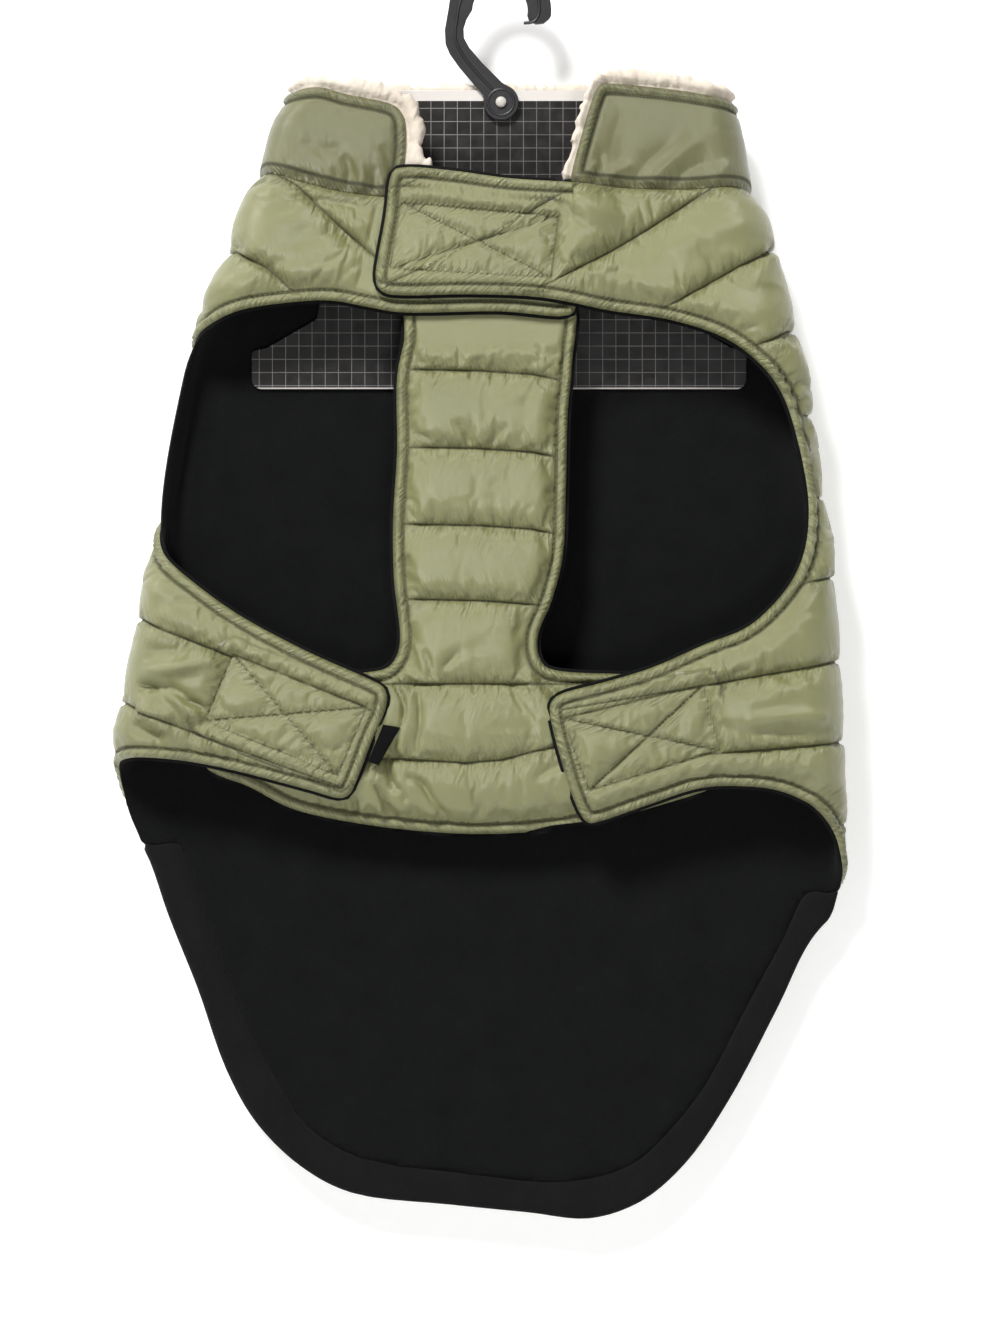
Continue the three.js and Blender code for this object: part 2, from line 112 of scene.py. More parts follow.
SHERPA_LEFT = [(-37, -113), (-33, -98.5), (-32.8, -93.5), (-38.5, -90), (-38.5, -77.5), (-41, -65),
               (-48.5, -58), (-59.5, -54), (-81, -51.5), (-98, -50.5)]
SHERPA_RIGHT = [(112, -54.5), (90, -50.2), (75.5, -48.5), (60, -48), (49, -51), (43, -60),
                (37.5, -80), (31.5, -104)]
CHEST = [(-45, -159), (-48, -183), (-51.5, -200.5), (-51.5, -238), (-53.5, -273), (-53, -303),
         (-50, -333), (-52, -341.5), (-56, -346.5), (-62, -348.5), (-95, -351), (-135, -356),
         (-146, -366), (-149, -395), (-125, -407), (-105, -417.5), (-75, -424.5), (-40, -429),
         (-10, -430.5), (20, -429), (50, -424), (80, -416), (105, -408), (130, -396),
         (133, -376), (118, -356), (70, -350.5), (30, -348.5), (22.5, -346), (19.5, -341),
         (19, -330.5), (26, -313), (31.5, -290.5), (33, -258), (34, -218), (36, -195.5),
         (34.5, -159)]

QUILTING = [26, -6, -56, -97, -138, -178.5, -220.5, -261.5, -302, -344, -384.5, -426, -467,
            -508, -549, -590, -631, -672]
CHEST_QUILTING = [-120, -159, -199, -238, -276.5, -314, -355, -393.5, -433]

# Corners of the boxes sewn round the fastening tape, on the front.
TAPE_BOXES = {
    "tab": [(-49.5, -114.5), (29, -121.5), (25.5, -152.5), (-55, -148)],
    "left": [(-133, -340), (-66.5, -366.5), (-81, -400.5), (-147, -373)],
    "right": [(31, -372), (101, -355.5), (109.5, -388), (44.5, -408)],
}

# Listed creases: the points they pass, their width and their height (a trough is below zero).
COAT_CREASES = [
    ([(-92, -110), (-76, -117), (-62, -125)], 3.5, -1.7),
    ([(-98, -116), (-80, -122), (-64, -133)], 4.5, 1.5),
    ([(-104, -112), (-84, -113.5), (-66, -117)], 3, -1.2),
    ([(-88, -126), (-75, -134), (-66, -146)], 4, -1.3),
    ([(-80, -152), (-70, -146), (-63, -140)], 3, -1.3),
    ([(-112, -127), (-100, -124), (-88, -126)], 5, 1.0),
    ([(-118, -150), (-106, -158), (-96, -162)], 4, -1.1),
    ([(29, -112), (36, -121), (47, -129)], 3.5, -1.6),
    ([(36, -110), (46, -119), (62, -123)], 4, 1.2),
    ([(58, -112), (72, -117), (92, -116)], 5, -1.0),
    ([(40, -160), (52, -152), (66, -149)], 3.5, -1.2),
    ([(84, -141), (100, -131), (124, -126)], 6, 1.2),
    ([(70, -158), (88, -160), (108, -170)], 4, 1.0),
    ([(112, -150), (122, -158), (134, -175)], 5, -1.1),
    ([(-189, -352), (-179.5, -356), (-166, -357), (-160, -359)], 2.2, -4.64),
    ([(-176, -349), (-163, -347), (-151, -345), (-141, -343.5)], 3.0, 3.19),
    ([(-164, -356), (-155, -363), (-148.5, -366), (-147, -371)], 2.2, -3.77),
    ([(-170, -354), (-162, -361), (-156, -367), (-148, -371)], 2.8, 3.48),
    ([(-184, -343), (-170, -339), (-154, -339)], 3.5, -2.03),
    ([(-190, -362), (-176, -366), (-162, -372)], 3.4, 2.32),
    ([(-189, -370), (-178.5, -377), (-171, -381), (-170.5, -385)], 2.4, -3.48),
    ([(-184, -366), (-172, -372), (-165, -379)], 3, 1.89),
    ([(-158, -372), (-154, -377), (-153, -383)], 2.0, -1.74),
    ([(-150, -377), (-146, -382), (-146, -389)], 1.9, 2.03),
    ([(-142, -380), (-138, -385), (-138, -391)], 1.9, 1.89),
    ([(-166, -322), (-150, -328), (-138, -336)], 4, 1.1),
    ([(-176, -318), (-160, -314), (-146, -316)], 4, -0.9),
    ([(119, -379), (140, -378.5), (160, -379.5)], 3.2, -2.5),
    ([(121, -373), (142, -371), (163, -372)], 4, 2.0),
    ([(108, -365), (111, -375), (115, -387)], 2.8, -2.0),
    ([(102, -346), (107, -352), (110, -359)], 3.5, 1.7),
    ([(120, -366), (136, -358), (155, -353)], 5, 1.7),
    ([(125, -360), (142, -351), (160, -347)], 3.5, -1.2),
    ([(146, -322), (156, -316), (164, -300)], 4, -1.1),
    ([(90, -400), (104, -398), (122, -399)], 3, -1.0),
    ([(60, -352), (76, -352), (92, -346)], 3, 1.0),
]
BACK_CREASES = [
    ([(-150, -128), (-128, -136), (-104, -133)], 5, -1.3),
    ([(-60, -122), (-44, -134), (-30, -137)], 4.5, 1.1),
    ([(18, -141), (30, -153), (34, -168)], 4, -1.2),
    ([(96, -128), (120, -138), (150, -140)], 5.5, 1.2),
    ([(-132, -181), (-120, -192), (-112, -209)], 4, -1.2),
    ([(-84, -186), (-66, -196), (-40, -198)], 6, 1.1),
    ([(58, -183), (64, -196), (66, -212)], 3.6, -1.3),
    ([(120, -190), (138, -202), (160, -206)], 5, -1.0),
    ([(-170, -232), (-150, -240), (-134, -256)], 5, 1.3),
    ([(-24, -224), (-14, -236), (-12, -250)], 3.8, -1.1),
    ([(90, -240), (106, -246), (128, -244)], 5.5, -1.0),
    ([(-104, -266), (-98, -280), (-100, -294)], 4, -1.3),
    ([(6, -270), (28, -280), (54, -279)], 6, 1.0),
    ([(146, -266), (154, -280), (158, -297)], 4.2, -1.2),
    ([(-160, -308), (-144, -318), (-120, -321)], 5.5, -1.1),
    ([(-52, -306), (-46, -320), (-46, -336)], 3.8, 1.2),
    ([(74, -305), (84, -318), (88, -334)], 4.2, -1.4),
    ([(-128, -349), (-112, -360), (-84, -362)], 5.5, 1.2),
    ([(-10, -348), (-4, -362), (-6, -376)], 3.8, -1.2),
    ([(118, -350), (132, -364), (150, -372)], 5, -1.1),
    ([(-150, -388), (-140, -402), (-138, -416)], 4.2, -1.2),
    ([(26, -392), (46, -403), (72, -404)], 6, 1.1),
    ([(-70, -430), (-56, -442), (-34, -446)], 5, -1.0),
    ([(104, -428), (112, -442), (114, -456)], 4, -1.3),
    ([(-118, -470), (-108, -484), (-106, -500)], 4.2, 1.2),
    ([(10, -472), (16, -486), (12, -502)], 3.8, -1.2),
    ([(66, -474), (86, -484), (104, -482)], 5.5, 1.0),
    ([(-60, -512), (-46, -524), (-22, -527)], 5.5, 1.0),
    ([(78, -513), (84, -528), (82, -542)], 4, -1.2),
    ([(-88, -553), (-78, -566), (-60, -572)], 4.6, -1.1),
    ([(24, -552), (32, -566), (34, -582)], 4, 1.1),
    ([(-26, -592), (-10, -600), (14, -601)], 4.4, -0.9),
]
CHEST_CREASES = [
    ([(-28, -174), (-31, -181), (-32, -187)], 2.4, -1.3),
    ([(-24, -176), (-21, -186), (-20, -195)], 2.2, -1.5),
    ([(0, -170), (2, -176), (1, -183)], 2.4, -1.2),
    ([(-22, -224), (-17, -229), (-15.5, -236)], 2.0, -1.9),
    ([(4, -226), (-1, -231), (-5, -236.5)], 2.2, -1.9),
    ([(-43, -230), (-38, -231), (-33, -232)], 2.0, -1.5),
    ([(-42, -242.5), (-38.5, -245), (-35.5, -248)], 1.8, -1.5),
    ([(-56, -354), (-53, -363), (-53, -372), (-55, -380)], 2.2, 3.51),
    ([(-52, -356), (-49, -363), (-48.5, -370.5), (-50, -378)], 1.7, -4.59),
    ([(-50.5, -354), (-46.2, -362.5), (-45.8, -371), (-49, -379), (-50.2, -384), (-47, -392)], 1.6, 3.51),
    ([(-43, -356), (-40, -366), (-40, -376), (-43, -386)], 3.0, -1.76),
    ([(-51, -382), (-53, -387), (-50, -392)], 1.6, -2.7),
    ([(-56, -390), (-55.5, -399), (-53, -406), (-48.5, -408)], 1.8, -4.05),
    ([(-60, -403), (-55.5, -411.5), (-49, -417), (-45, -415.5), (-43, -410), (-43, -405.5)], 1.7, 3.51),
    ([(-43, -405.5), (-39, -410), (-36, -417), (-31, -420.5)], 1.9, 2.7),
    ([(-47, -400.5), (-39.5, -404), (-35, -410.5), (-27, -420)], 2.0, -3.78),
    ([(-49, -409), (-47, -412), (-47, -414)], 1.4, -2.16),
    ([(-63, -404), (-58, -412), (-51, -422.5)], 1.8, -3.24),
    ([(-67, -405), (-63, -413), (-58, -422)], 2.0, 2.03),
    ([(-75, -410), (-72.5, -415), (-72.5, -421)], 1.5, -2.7),
    ([(-72, -409), (-69, -414), (-70, -421)], 1.5, 2.43),
    ([(-98, -408), (-92, -412), (-90, -419)], 2.4, -1.62),
    ([(-29, -348), (-25, -343), (-20, -338)], 1.8, -2.16),
    ([(-37, -347), (-39, -342), (-41, -336)], 1.6, 2.16),
    ([(-34, -348), (-36, -342), (-38, -337)], 1.5, -2.16),
    ([(-84, -409), (-79, -413), (-78, -421)], 2.2, -2.03),
    ([(12, -351), (18, -358), (25, -371)], 2.8, 2.97),
    ([(18, -350), (25, -357), (30, -366)], 2.4, -2.7),
    ([(5, -354), (9, -363), (17, -374)], 3, -1.62),
    ([(14, -394), (20, -388), (28, -385)], 2.4, 1.76),
    ([(18, -402), (25, -397), (32, -395)], 2.2, -1.62),
    ([(-47, -348), (-42, -352), (-30, -354)], 2, 1.35),
    ([(-43, -231), (-38, -224), (-36, -214)], 2.6, -1.0),
    ([(-30, -243), (-26, -252), (-28, -262)], 3, 1.0),
    ([(-42, -245), (-37, -252), (-36, -262)], 2.6, -1.1),
    ([(20, -204), (14, -212), (12, -224)], 3, -0.9),
    ([(-40, -203), (-35, -212), (-36, -224)], 2.8, 1.0),
    ([(8, -282), (13, -291), (12, -303)], 3, -0.9),
    ([(-40, -318), (-34, -326), (-34, -338)], 2.8, -1.0),
    ([(6, -321), (2, -330), (4, -343)], 3, 1.0),
]
COLLAR_CREASES = [
    ([(-77, -108), (-75, -99), (-78, -90)], 2.6, -2.0),
    ([(-70, -109), (-69, -101), (-72, -92)], 2.4, 1.6),
    ([(-64, -110.5), (-62, -103), (-64, -96)], 2.2, -1.6),
    ([(-86, -105), (-86, -97), (-92, -88)], 2.6, 1.2),
    ([(-112, -100), (-98, -101), (-84, -106)], 3, -1.0),
    ([(-100, -84), (-88, -88), (-78, -86)], 3, -0.9),
    ([(-60, -86), (-56, -92), (-55, -104)], 2.6, -1.1),
    ([(73, -106), (82, -96), (100, -82)], 5, 1.9),
    ([(66, -106), (74, -95), (88, -84)], 4, -1.4),
    ([(46, -106), (50, -98), (50, -88)], 2.6, -1.3),
    ([(88, -106), (92, -99), (104, -94)], 2.6, -1.1),
    ([(52, -105), (58, -99), (66, -96)], 2.4, 1.1),
    ([(106, -105), (112, -97), (120, -92)], 3, 0.9),
]


def clamp(t):
    return np.clip(t, 0.0, 1.0)


def smooth(t):
    t = clamp(t)
    return t * t * (3 - 2 * t)


def eased(column, z):
    """A column of SECTION at height z, averaged over 20 mm so that nothing kinks."""
    levels = SECTION[:, 0]
    return sum(np.interp(z + step, levels, SECTION[:, column]) for step in (-10, -5, 0, 5, 10)) / 5


def section(z):
    """At height z: the middle, half the flat width, the back's plane, half the depth, the belly."""
    left = eased(1, z)
    right = eased(2, z)
    half = eased(4, z)
    return (left + right) / 2, (right - left) / 2 - half, eased(3, z), half, eased(5, z)


def front_face(x, z, out):
    """The point of the fronts at x and height z, moved out by out."""
    centre, flat, back, half, belly = section(z)
    across = clamp(np.abs(x - centre) / flat)
    return np.stack([x, back - 2 * half - belly * (1 - across**2) - out, z], -1)


def on_coat(u, z, out):
    """The point of the cloth at run u round the tube and height z, moved out by out."""
    centre, flat, back, half, belly = section(z)
    hand = np.where(u < 0, -1.0, 1.0)
    run = np.abs(u)
    turn = math.pi * clamp((run - BACK) / FOLD)
    x_front = centre + hand * (flat - flat * (run - FRONT) / BACK)
    lap = LAP_LIFT * smooth((62 - x_front) / 24) * smooth((z + 290) / 60)
    lap = np.where((hand > 0) & (run > FRONT), lap, 0.0)
    across = clamp(np.abs(x_front - centre) / flat)
    x = centre + hand * (flat + (half + out) * np.sin(turn))
    x = np.where(run <= BACK, centre + flat * u / BACK, x)
    x = np.where(run >= FRONT, x_front, x)
    y = back - half + (half + out) * np.cos(turn)
    y = np.where(run >= FRONT, back - 2 * half - belly * (1 - across**2) - out - lap, y)
    return np.stack([x, y, z], -1)


def front_run(hand, rows):
    """Points seen on the front, as runs: hand is -1 on the left and 1 on the right."""
    rows = np.array(rows, float)
    centre, flat, _, half, _ = section(rows[:, 1])
    past = hand * (rows[:, 0] - centre) - flat
    turn = math.pi - np.arcsin(clamp(past / half))
    run = np.where(past <= 0, FRONT - BACK * past / flat, BACK + FOLD * turn / math.pi)
    return np.stack([hand * run, rows[:, 1]], -1)


def back_run(rows):
    """Points seen on the back, as runs."""
    rows = np.array(rows, float)
    centre, flat, _, half, _ = section(rows[:, 1])
    hand = np.where(rows[:, 0] < centre, -1.0, 1.0)
    past = np.abs(rows[:, 0] - centre) - flat
    turn = np.arcsin(clamp(past / half))
    run = np.where(past <= 0, BACK * np.abs(rows[:, 0] - centre) / flat, BACK + FOLD * turn / math.pi)
    return np.stack([hand * run, rows[:, 1]], -1)


def laid_out(u, z, side):
    """Millimetres across the cloth: side 0 from the back, -1 and 1 from the left and right front."""
    centre, flat, _, half, _ = section(z)
    fold = math.pi * half
    if side == 0:
        run = np.abs(u)
        across = flat * np.minimum(run, BACK) / BACK + fold * clamp((run - BACK) / FOLD)
        across = across + flat * np.maximum(0, run - FRONT) / BACK
        return centre + np.sign(u) * across
    run = side * u
    across = flat * (BACK - np.maximum(0, run - FRONT)) / BACK + fold * clamp((FRONT - run) / FOLD)
    across = across + flat * np.maximum(0, BACK - run) / BACK
    return centre + side * across


def coat_across(u, z):
    """Millimetres across the cloth, on the side that each point lies."""
    return np.select([u < -SIDE, u > SIDE], [laid_out(u, z, -1), laid_out(u, z, 1)], laid_out(u, z, 0))


def rounded(points, closed=True, steps=5):
    """A smooth curve through the points."""
    points = np.array(points, float)
    count = len(points)
    out = []
    for i in range(count if closed else count - 1):
        near = [i - 1, i, i + 1, i + 2]
        p = [points[k % count if closed else min(max(k, 0), count - 1)] for k in near]
        knots = [0.0]
        for a, b in zip(p, p[1:]):
            knots.append(knots[-1] + max(np.hypot(*(b - a)) ** 0.5, 1e-4))
        for step in range(steps):
            t = knots[1] + (knots[2] - knots[1]) * step / steps
            level = p
            for depth in (1, 2, 3):
                level = [
                    (a * (knots[k + depth] - t) + b * (t - knots[k])) / (knots[k + depth] - knots[k])
                    for k, (a, b) in enumerate(zip(level, level[1:]))
                ]
                if depth == 2:
                    level = [
                        (level[0] * (knots[2] - t) + level[1] * (t - knots[1])) / (knots[2] - knots[1])
                    ]
                    break
            out.append(level[0])
    if not closed:
        out.append(points[-1])
    return np.array(out)


REACH = 17.0


def nearest(cut, x, z):
    """Signed distance to an outline (negative inside, at most REACH), the length along it, its side."""
    shape = np.shape(x)
    x = np.ravel(x)
    z = np.ravel(z)
    a = cut
    b = np.roll(cut, -1, axis=0)
    lengths = np.hypot(*(b - a).T)
    starts = np.concatenate([[0], np.cumsum(lengths)[:-1]])
    best = np.full(x.shape, REACH)
    along = np.zeros(x.shape)
    segment = np.zeros(x.shape, int)
    inside = np.zeros(x.shape, bool)
    order = np.argsort(z, kind="stable")
    level = z[order]
    for i in range(len(a)):
        (ax, az), (bx, bz) = a[i], b[i]
        low, high = min(az, bz), max(az, bz)
        band = order[np.searchsorted(level, low - REACH):np.searchsorted(level, high + REACH, "right")]
        px = x[band]
        near = (px > min(ax, bx) - REACH) & (px < max(ax, bx) + REACH)
        here = band[near]
        if len(here):
            px = px[near]
            pz = z[here]
            ex = bx - ax
            ez = bz - az
            t = clamp(((px - ax) * ex + (pz - az) * ez) / max(ex * ex + ez * ez, 1e-9))
            far = np.hypot(px - ax - t * ex, pz - az - t * ez)
            closer = far < best[here]
            won = here[closer]
            best[won] = far[closer]
            along[won] = starts[i] + t[closer] * lengths[i]
            segment[won] = i
        if az != bz:
            band = order[np.searchsorted(level, low, "left"):np.searchsorted(level, high, "left")]
            cross = x[band] < ax + (z[band] - az) / (bz - az) * (bx - ax)
            inside[band] ^= cross
    best = np.where(inside, -best, best)
    return best.reshape(shape), along.reshape(shape), segment.reshape(shape)


class Cut:
    """An outline on the coat. Distances are real millimetres on the side that each point lies."""

    def __init__(self, runs, steps=5):
        self.runs = rounded(runs, True, steps)
        self.sides = {
            side: np.stack([laid_out(self.runs[:, 0], self.runs[:, 1], side), self.runs[:, 1]], -1)
            for side in (-1, 0, 1)
        }

    def away(self, u, z):
        u = np.asarray(u, float)
        z = np.asarray(z, float)
        d = np.zeros(u.shape)
        along = np.zeros(u.shape)
        segment = np.zeros(u.shape, int)
        for side, here in ((-1, u < -SIDE), (0, np.abs(u) <= SIDE), (1, u > SIDE)):
            if here.any():
                d[here], along[here], segment[here] = nearest(
                    self.sides[side], laid_out(u[here], z[here], side), z[here]
                )
        return d, along, segment


class FlatCut:
    """An outline on the flat front."""

    def __init__(self, rows, steps=5):
        self.runs = rounded(rows, True, steps)

    def away(self, x, z):
        return nearest(self.runs, np.asarray(x, float), np.asarray(z, float))


# Noise that is the same in every run.
def scatter(i, j, k):
    """A fixed number from -1 to 1 for each corner of a grid."""
    n = (i * 374761393 + j * 668265263 + k * 1274126177) & 0x7FFFFFFF
    n = ((n ^ (n >> 13)) * 1103515245) & 0x7FFFFFFF
    n = ((n ^ (n >> 16)) * 69069) & 0x7FFFFFFF
    return (n & 0xFFFF) / 32767.5 - 1


def noise(x, y, z):
    """Smooth noise from -1 to 1."""
    cell = [np.floor(c).astype(np.int64) for c in (x, y, z)]
    part = [smooth(c - i) for c, i in zip((x, y, z), cell)]
    total = 0
    for a in (0, 1):
        for b in (0, 1):
            for c in (0, 1):
                weight = (
                    (part[0] if a else 1 - part[0])
                    * (part[1] if b else 1 - part[1])
                    * (part[2] if c else 1 - part[2])
                )
                total = total + weight * scatter(cell[0] + a, cell[1] + b, cell[2] + c)
    return total


def ridged(x, y, z):
    return 1 - 2 * np.abs(noise(x, y, z))


def crease_height(creases, x, z):
    """Soft troughs and ridges that fade out at both ends."""
    total = np.zeros(np.shape(x))
    for points, width, height in creases:
        line = rounded(points, False, 6)
        low = line.min(0) - 4 * width
        high = line.max(0) + 4 * width
        here = (x > low[0]) & (x < high[0]) & (z > low[1]) & (z < high[1])
        if not here.any():
            continue
        px = x[here]
        pz = z[here]
        best = np.full(px.shape, 1e9)
        share = np.zeros(px.shape)
        count = len(line) - 1
        for i in range(count):
            (ax, az), (bx, bz) = line[i], line[i + 1]
            ex = bx - ax
            ez = bz - az
            t = clamp(((px - ax) * ex + (pz - az) * ez) / max(ex * ex + ez * ez, 1e-9))
            far = np.hypot(px - ax - t * ex, pz - az - t * ez)
            closer = far < best
            best = np.where(closer, far, best)
            share = np.where(closer, (i + t) / count, share)
        fade = np.sin(math.pi * np.clip(share, 0.04, 0.96)) ** 0.7
        steep = 1.3 if height < 0 else 2.0
        total[here] += 1.5 * height * fade * np.exp(-((best / width) ** steep))
    return total


# Meshes.
def cut_grid(columns, rows, place, away):
    """A grid of cloth cut to an outline. Corners close to the outline are moved onto it."""
    us, vs = np.meshgrid(columns, rows, indexing="ij")
    u, z = place(us, vs)
    u = u.copy()
    z = z.copy()
    d = away(u, z)
    reach = 0.3 * min(np.median(np.abs(np.diff(columns))), np.median(np.abs(np.diff(rows))))
    close = np.abs(d) < reach
    if close.any():
        cu = u[close]
        cz = z[close]
        for _ in range(2):
            here = away(cu, cz)
            gu = (away(cu + 0.05, cz) - away(cu - 0.05, cz)) / 0.1
            gz = (away(cu, cz + 0.05) - away(cu, cz - 0.05)) / 0.1
            size = np.maximum(gu**2 + gz**2, 1e-3)
            cu = cu - np.clip(here * gu / size, -reach * 1.5, reach * 1.5)
            cz = cz - np.clip(here * gz / size, -reach * 1.5, reach * 1.5)
        u[close] = cu
        z[close] = cz
        d[close] = 0.0
    wide, tall = u.shape
    ids = np.arange(wide * tall).reshape(wide, tall)
    flat_u = list(u.ravel())
    flat_z = list(z.ravel())
    flat_v = list(vs.ravel())
    flat_d = d.ravel()
    corners = np.stack([ids[:-1, :-1], ids[1:, :-1], ids[1:, 1:], ids[:-1, 1:]], -1).reshape(-1, 4)
    values = flat_d[corners]
    full = (values <= 0).all(1) & (values < 0).any(1)
    mixed = (values < 0).any(1) & (values > 0).any(1)
    faces = [list(face) for face in corners[full]]
    crossings = {}

    def crossing(a, b):
        key = (a, b) if a < b else (b, a)
        if key not in crossings:
            t = flat_d[a] / (flat_d[a] - flat_d[b])
            flat_u.append(flat_u[a] + (flat_u[b] - flat_u[a]) * t)
            flat_z.append(flat_z[a] + (flat_z[b] - flat_z[a]) * t)
            flat_v.append(flat_v[a] + (flat_v[b] - flat_v[a]) * t)
            crossings[key] = len(flat_u) - 1
        return crossings[key]

    for ring in corners[mixed]:
        kept = []
        for k in range(4):
            corner = ring[k]
            following = ring[(k + 1) % 4]
            if flat_d[corner] <= 0:
                kept.append(int(corner))
            if flat_d[corner] * flat_d[following] < 0:
                kept.append(crossing(corner, following))
        if len(kept) > 2:
            faces.append(kept)
    used = np.unique(np.concatenate([np.array(face) for face in faces]))
    slot = np.full(len(flat_u), -1)
    slot[used] = np.arange(len(used))
    faces = [[int(slot[corner]) for corner in face] for face in faces]
    return np.array(flat_u)[used], np.array(flat_z)[used], np.array(flat_v)[used], faces


def sewn_rows(lines, near, far):
    """Rows of a grid: one on every quilting line, close together beside it."""
    rows = [float(lines[0])]
    for upper, lower in zip(lines, lines[1:]):
        steps = [0.0]
        step = near
        while steps[-1] < (upper - lower) / 2:
            steps.append(steps[-1] + step)
            step = min(step * 1.4, far)
        half = np.array(steps[1:]) / steps[-1] * (upper - lower) / 2
        rows += list(upper - half) + list(lower + half[:-1][::-1]) + [float(lower)]
    return np.array(rows)


def rim_edges(faces):
    """The edges that only one face has."""
    open_edges = {}
    for face in faces:
        for a, b in zip(face, face[1:] + face[:1]):
            if (b, a) in open_edges:
                del open_edges[(b, a)]
            else:
                open_edges[(a, b)] = True
    return list(open_edges)


def make_mesh(name, points, faces, material):
    mesh = bpy.data.meshes.new(name)
    mesh.from_pydata([tuple(p) for p in np.asarray(points) * MM], [], faces)
    mesh.validate()
    mesh.polygons.foreach_set("use_smooth", [True] * len(mesh.polygons))
    mesh.update()
    mesh.materials.append(material)
    piece = bpy.data.objects.new(name, mesh)
    bpy.context.scene.collection.objects.link(piece)
    return piece


def keep_sewn(piece, name, *columns):
    """Keeps lengths in millimetres on the mesh, for the fine gathers of the material."""
    count = len(piece.data.vertices)
    values = np.zeros((count, 3), np.float32)
    for k, column in enumerate(columns):
        values[:, k] = np.resize(column, count) if len(column) != count else column
    piece.data.attributes.new(name, "FLOAT_VECTOR", "POINT").data.foreach_set("vector", values.ravel())


def facing_out(points, faces, outward):
    """Turns the faces so that they look the way of outward, a point moved out from each point."""
    face = faces[len(faces) // 2]
    a, b, c = (points[face[k]] for k in (0, 1, 2))
    if np.dot(np.cross(b - a, c - a), outward[face[0]] - points[face[0]]) < 0:
        return [f[::-1] for f in faces]
    return faces


def two_sided(outer, inner, faces):
    """A closed layer between two sheets of the same faces."""
    faces = facing_out(outer, faces, 2 * outer - inner)
    count = len(outer)
    both = faces + [[count + corner for corner in face[::-1]] for face in faces]
    both += [[b, a, count + a, count + b] for a, b in rim_edges(faces)]
    return np.concatenate([outer, inner]), both


# Materials.
def new_group(name, inputs, outputs):
    """A shader node group with named sockets, its input node and its output node."""
    group = bpy.data.node_groups.new(name, "ShaderNodeTree")
    for label, kind, value in inputs:
        socket = group.interface.new_socket(name=label, in_out="INPUT", socket_type=kind)
        if value is not None:
            socket.default_value = value
    for label, kind in outputs:
        group.interface.new_socket(name=label, in_out="OUTPUT", socket_type=kind)
    start = group.nodes.new("NodeGroupInput")
    end = group.nodes.new("NodeGroupOutput")
    return group, start, end


class Nodes:
    """Short hand for placing and joining nodes in one tree."""

    def __init__(self, tree):
        self.tree = tree

    def add(self, kind, settings=None, **values):
        node = self.tree.nodes.new(kind)
        for key, value in (settings or {}).items():
            setattr(node, key, value)
        for key, value in values.items():
            self.put(node.inputs[key.replace("_", " ")], value)
        return node

    def put(self, socket, value):
        if isinstance(value, bpy.types.NodeSocket):
            self.tree.links.new(value, socket)
        else:
            socket.default_value = value

    def math(self, operation, a, b=None):
        node = self.tree.nodes.new("ShaderNodeMath")
        node.operation = operation
        for socket, value in zip(node.inputs, (a, b)):
            if value is not None:
                self.put(socket, value)
        return node.outputs[0]

    def ramp(self, value, stops):
        """Maps value from the first two stops to the last two."""
        node = self.tree.nodes.new("ShaderNodeMapRange")
        self.put(node.inputs["Value"], value)
        for socket, number in zip(list(node.inputs)[1:5], stops):
            self.put(socket, number)
        return node.outputs[0]

    def blend(self, share, a, b):
        node = self.tree.nodes.new("ShaderNodeMix")
        node.data_type = "RGBA"
        self.put(node.inputs["Factor"], share)
        self.put(node.inputs["A"], a)
        self.put(node.inputs["B"], b)
        return node.outputs["Result"]


def cloud_group():
    """Broad uneven colour and shine, as in dyed and handled cloth."""
    group, start, end = new_group(
        "handled_cloth",
        [("Scale", "NodeSocketFloat", 30.0)],
        [("Mask", "NodeSocketFloat"), ("Fine", "NodeSocketFloat")],
    )
    n = Nodes(group)
    spot = n.add("ShaderNodeTexCoord").outputs["Object"]
    broad = n.add("ShaderNodeTexNoise", Vector=spot, Scale=start.outputs["Scale"], Detail=4.0)
    fine_scale = n.math("MULTIPLY", start.outputs["Scale"], 14.0)
    fine = n.add("ShaderNodeTexNoise", Vector=spot, Scale=fine_scale, Detail=3.0)
    n.put(end.inputs["Mask"], broad.outputs["Fac"])
    n.put(end.inputs["Fine"], fine.outputs["Fac"])
    return group


def weave_group():
    """Plain weave: threads over and under, thread spacing in millimetres."""
    group, start, end = new_group(
        "plain_weave",
        [("Spacing mm", "NodeSocketFloat", 0.4)],
        [("Height", "NodeSocketFloat")],
    )
    n = Nodes(group)
    place = n.add("ShaderNodeTexCoord")
    axes = n.add("ShaderNodeSeparateXYZ", Vector=place.outputs["Object"])
    rate = n.math("DIVIDE", 6283.0, start.outputs["Spacing mm"])
    warp = n.math("SINE", n.math("MULTIPLY", axes.outputs["X"], rate))
    weft = n.math("SINE", n.math("MULTIPLY", axes.outputs["Z"], rate))
    n.put(end.inputs["Height"], n.math("MULTIPLY", warp, weft))
    return group


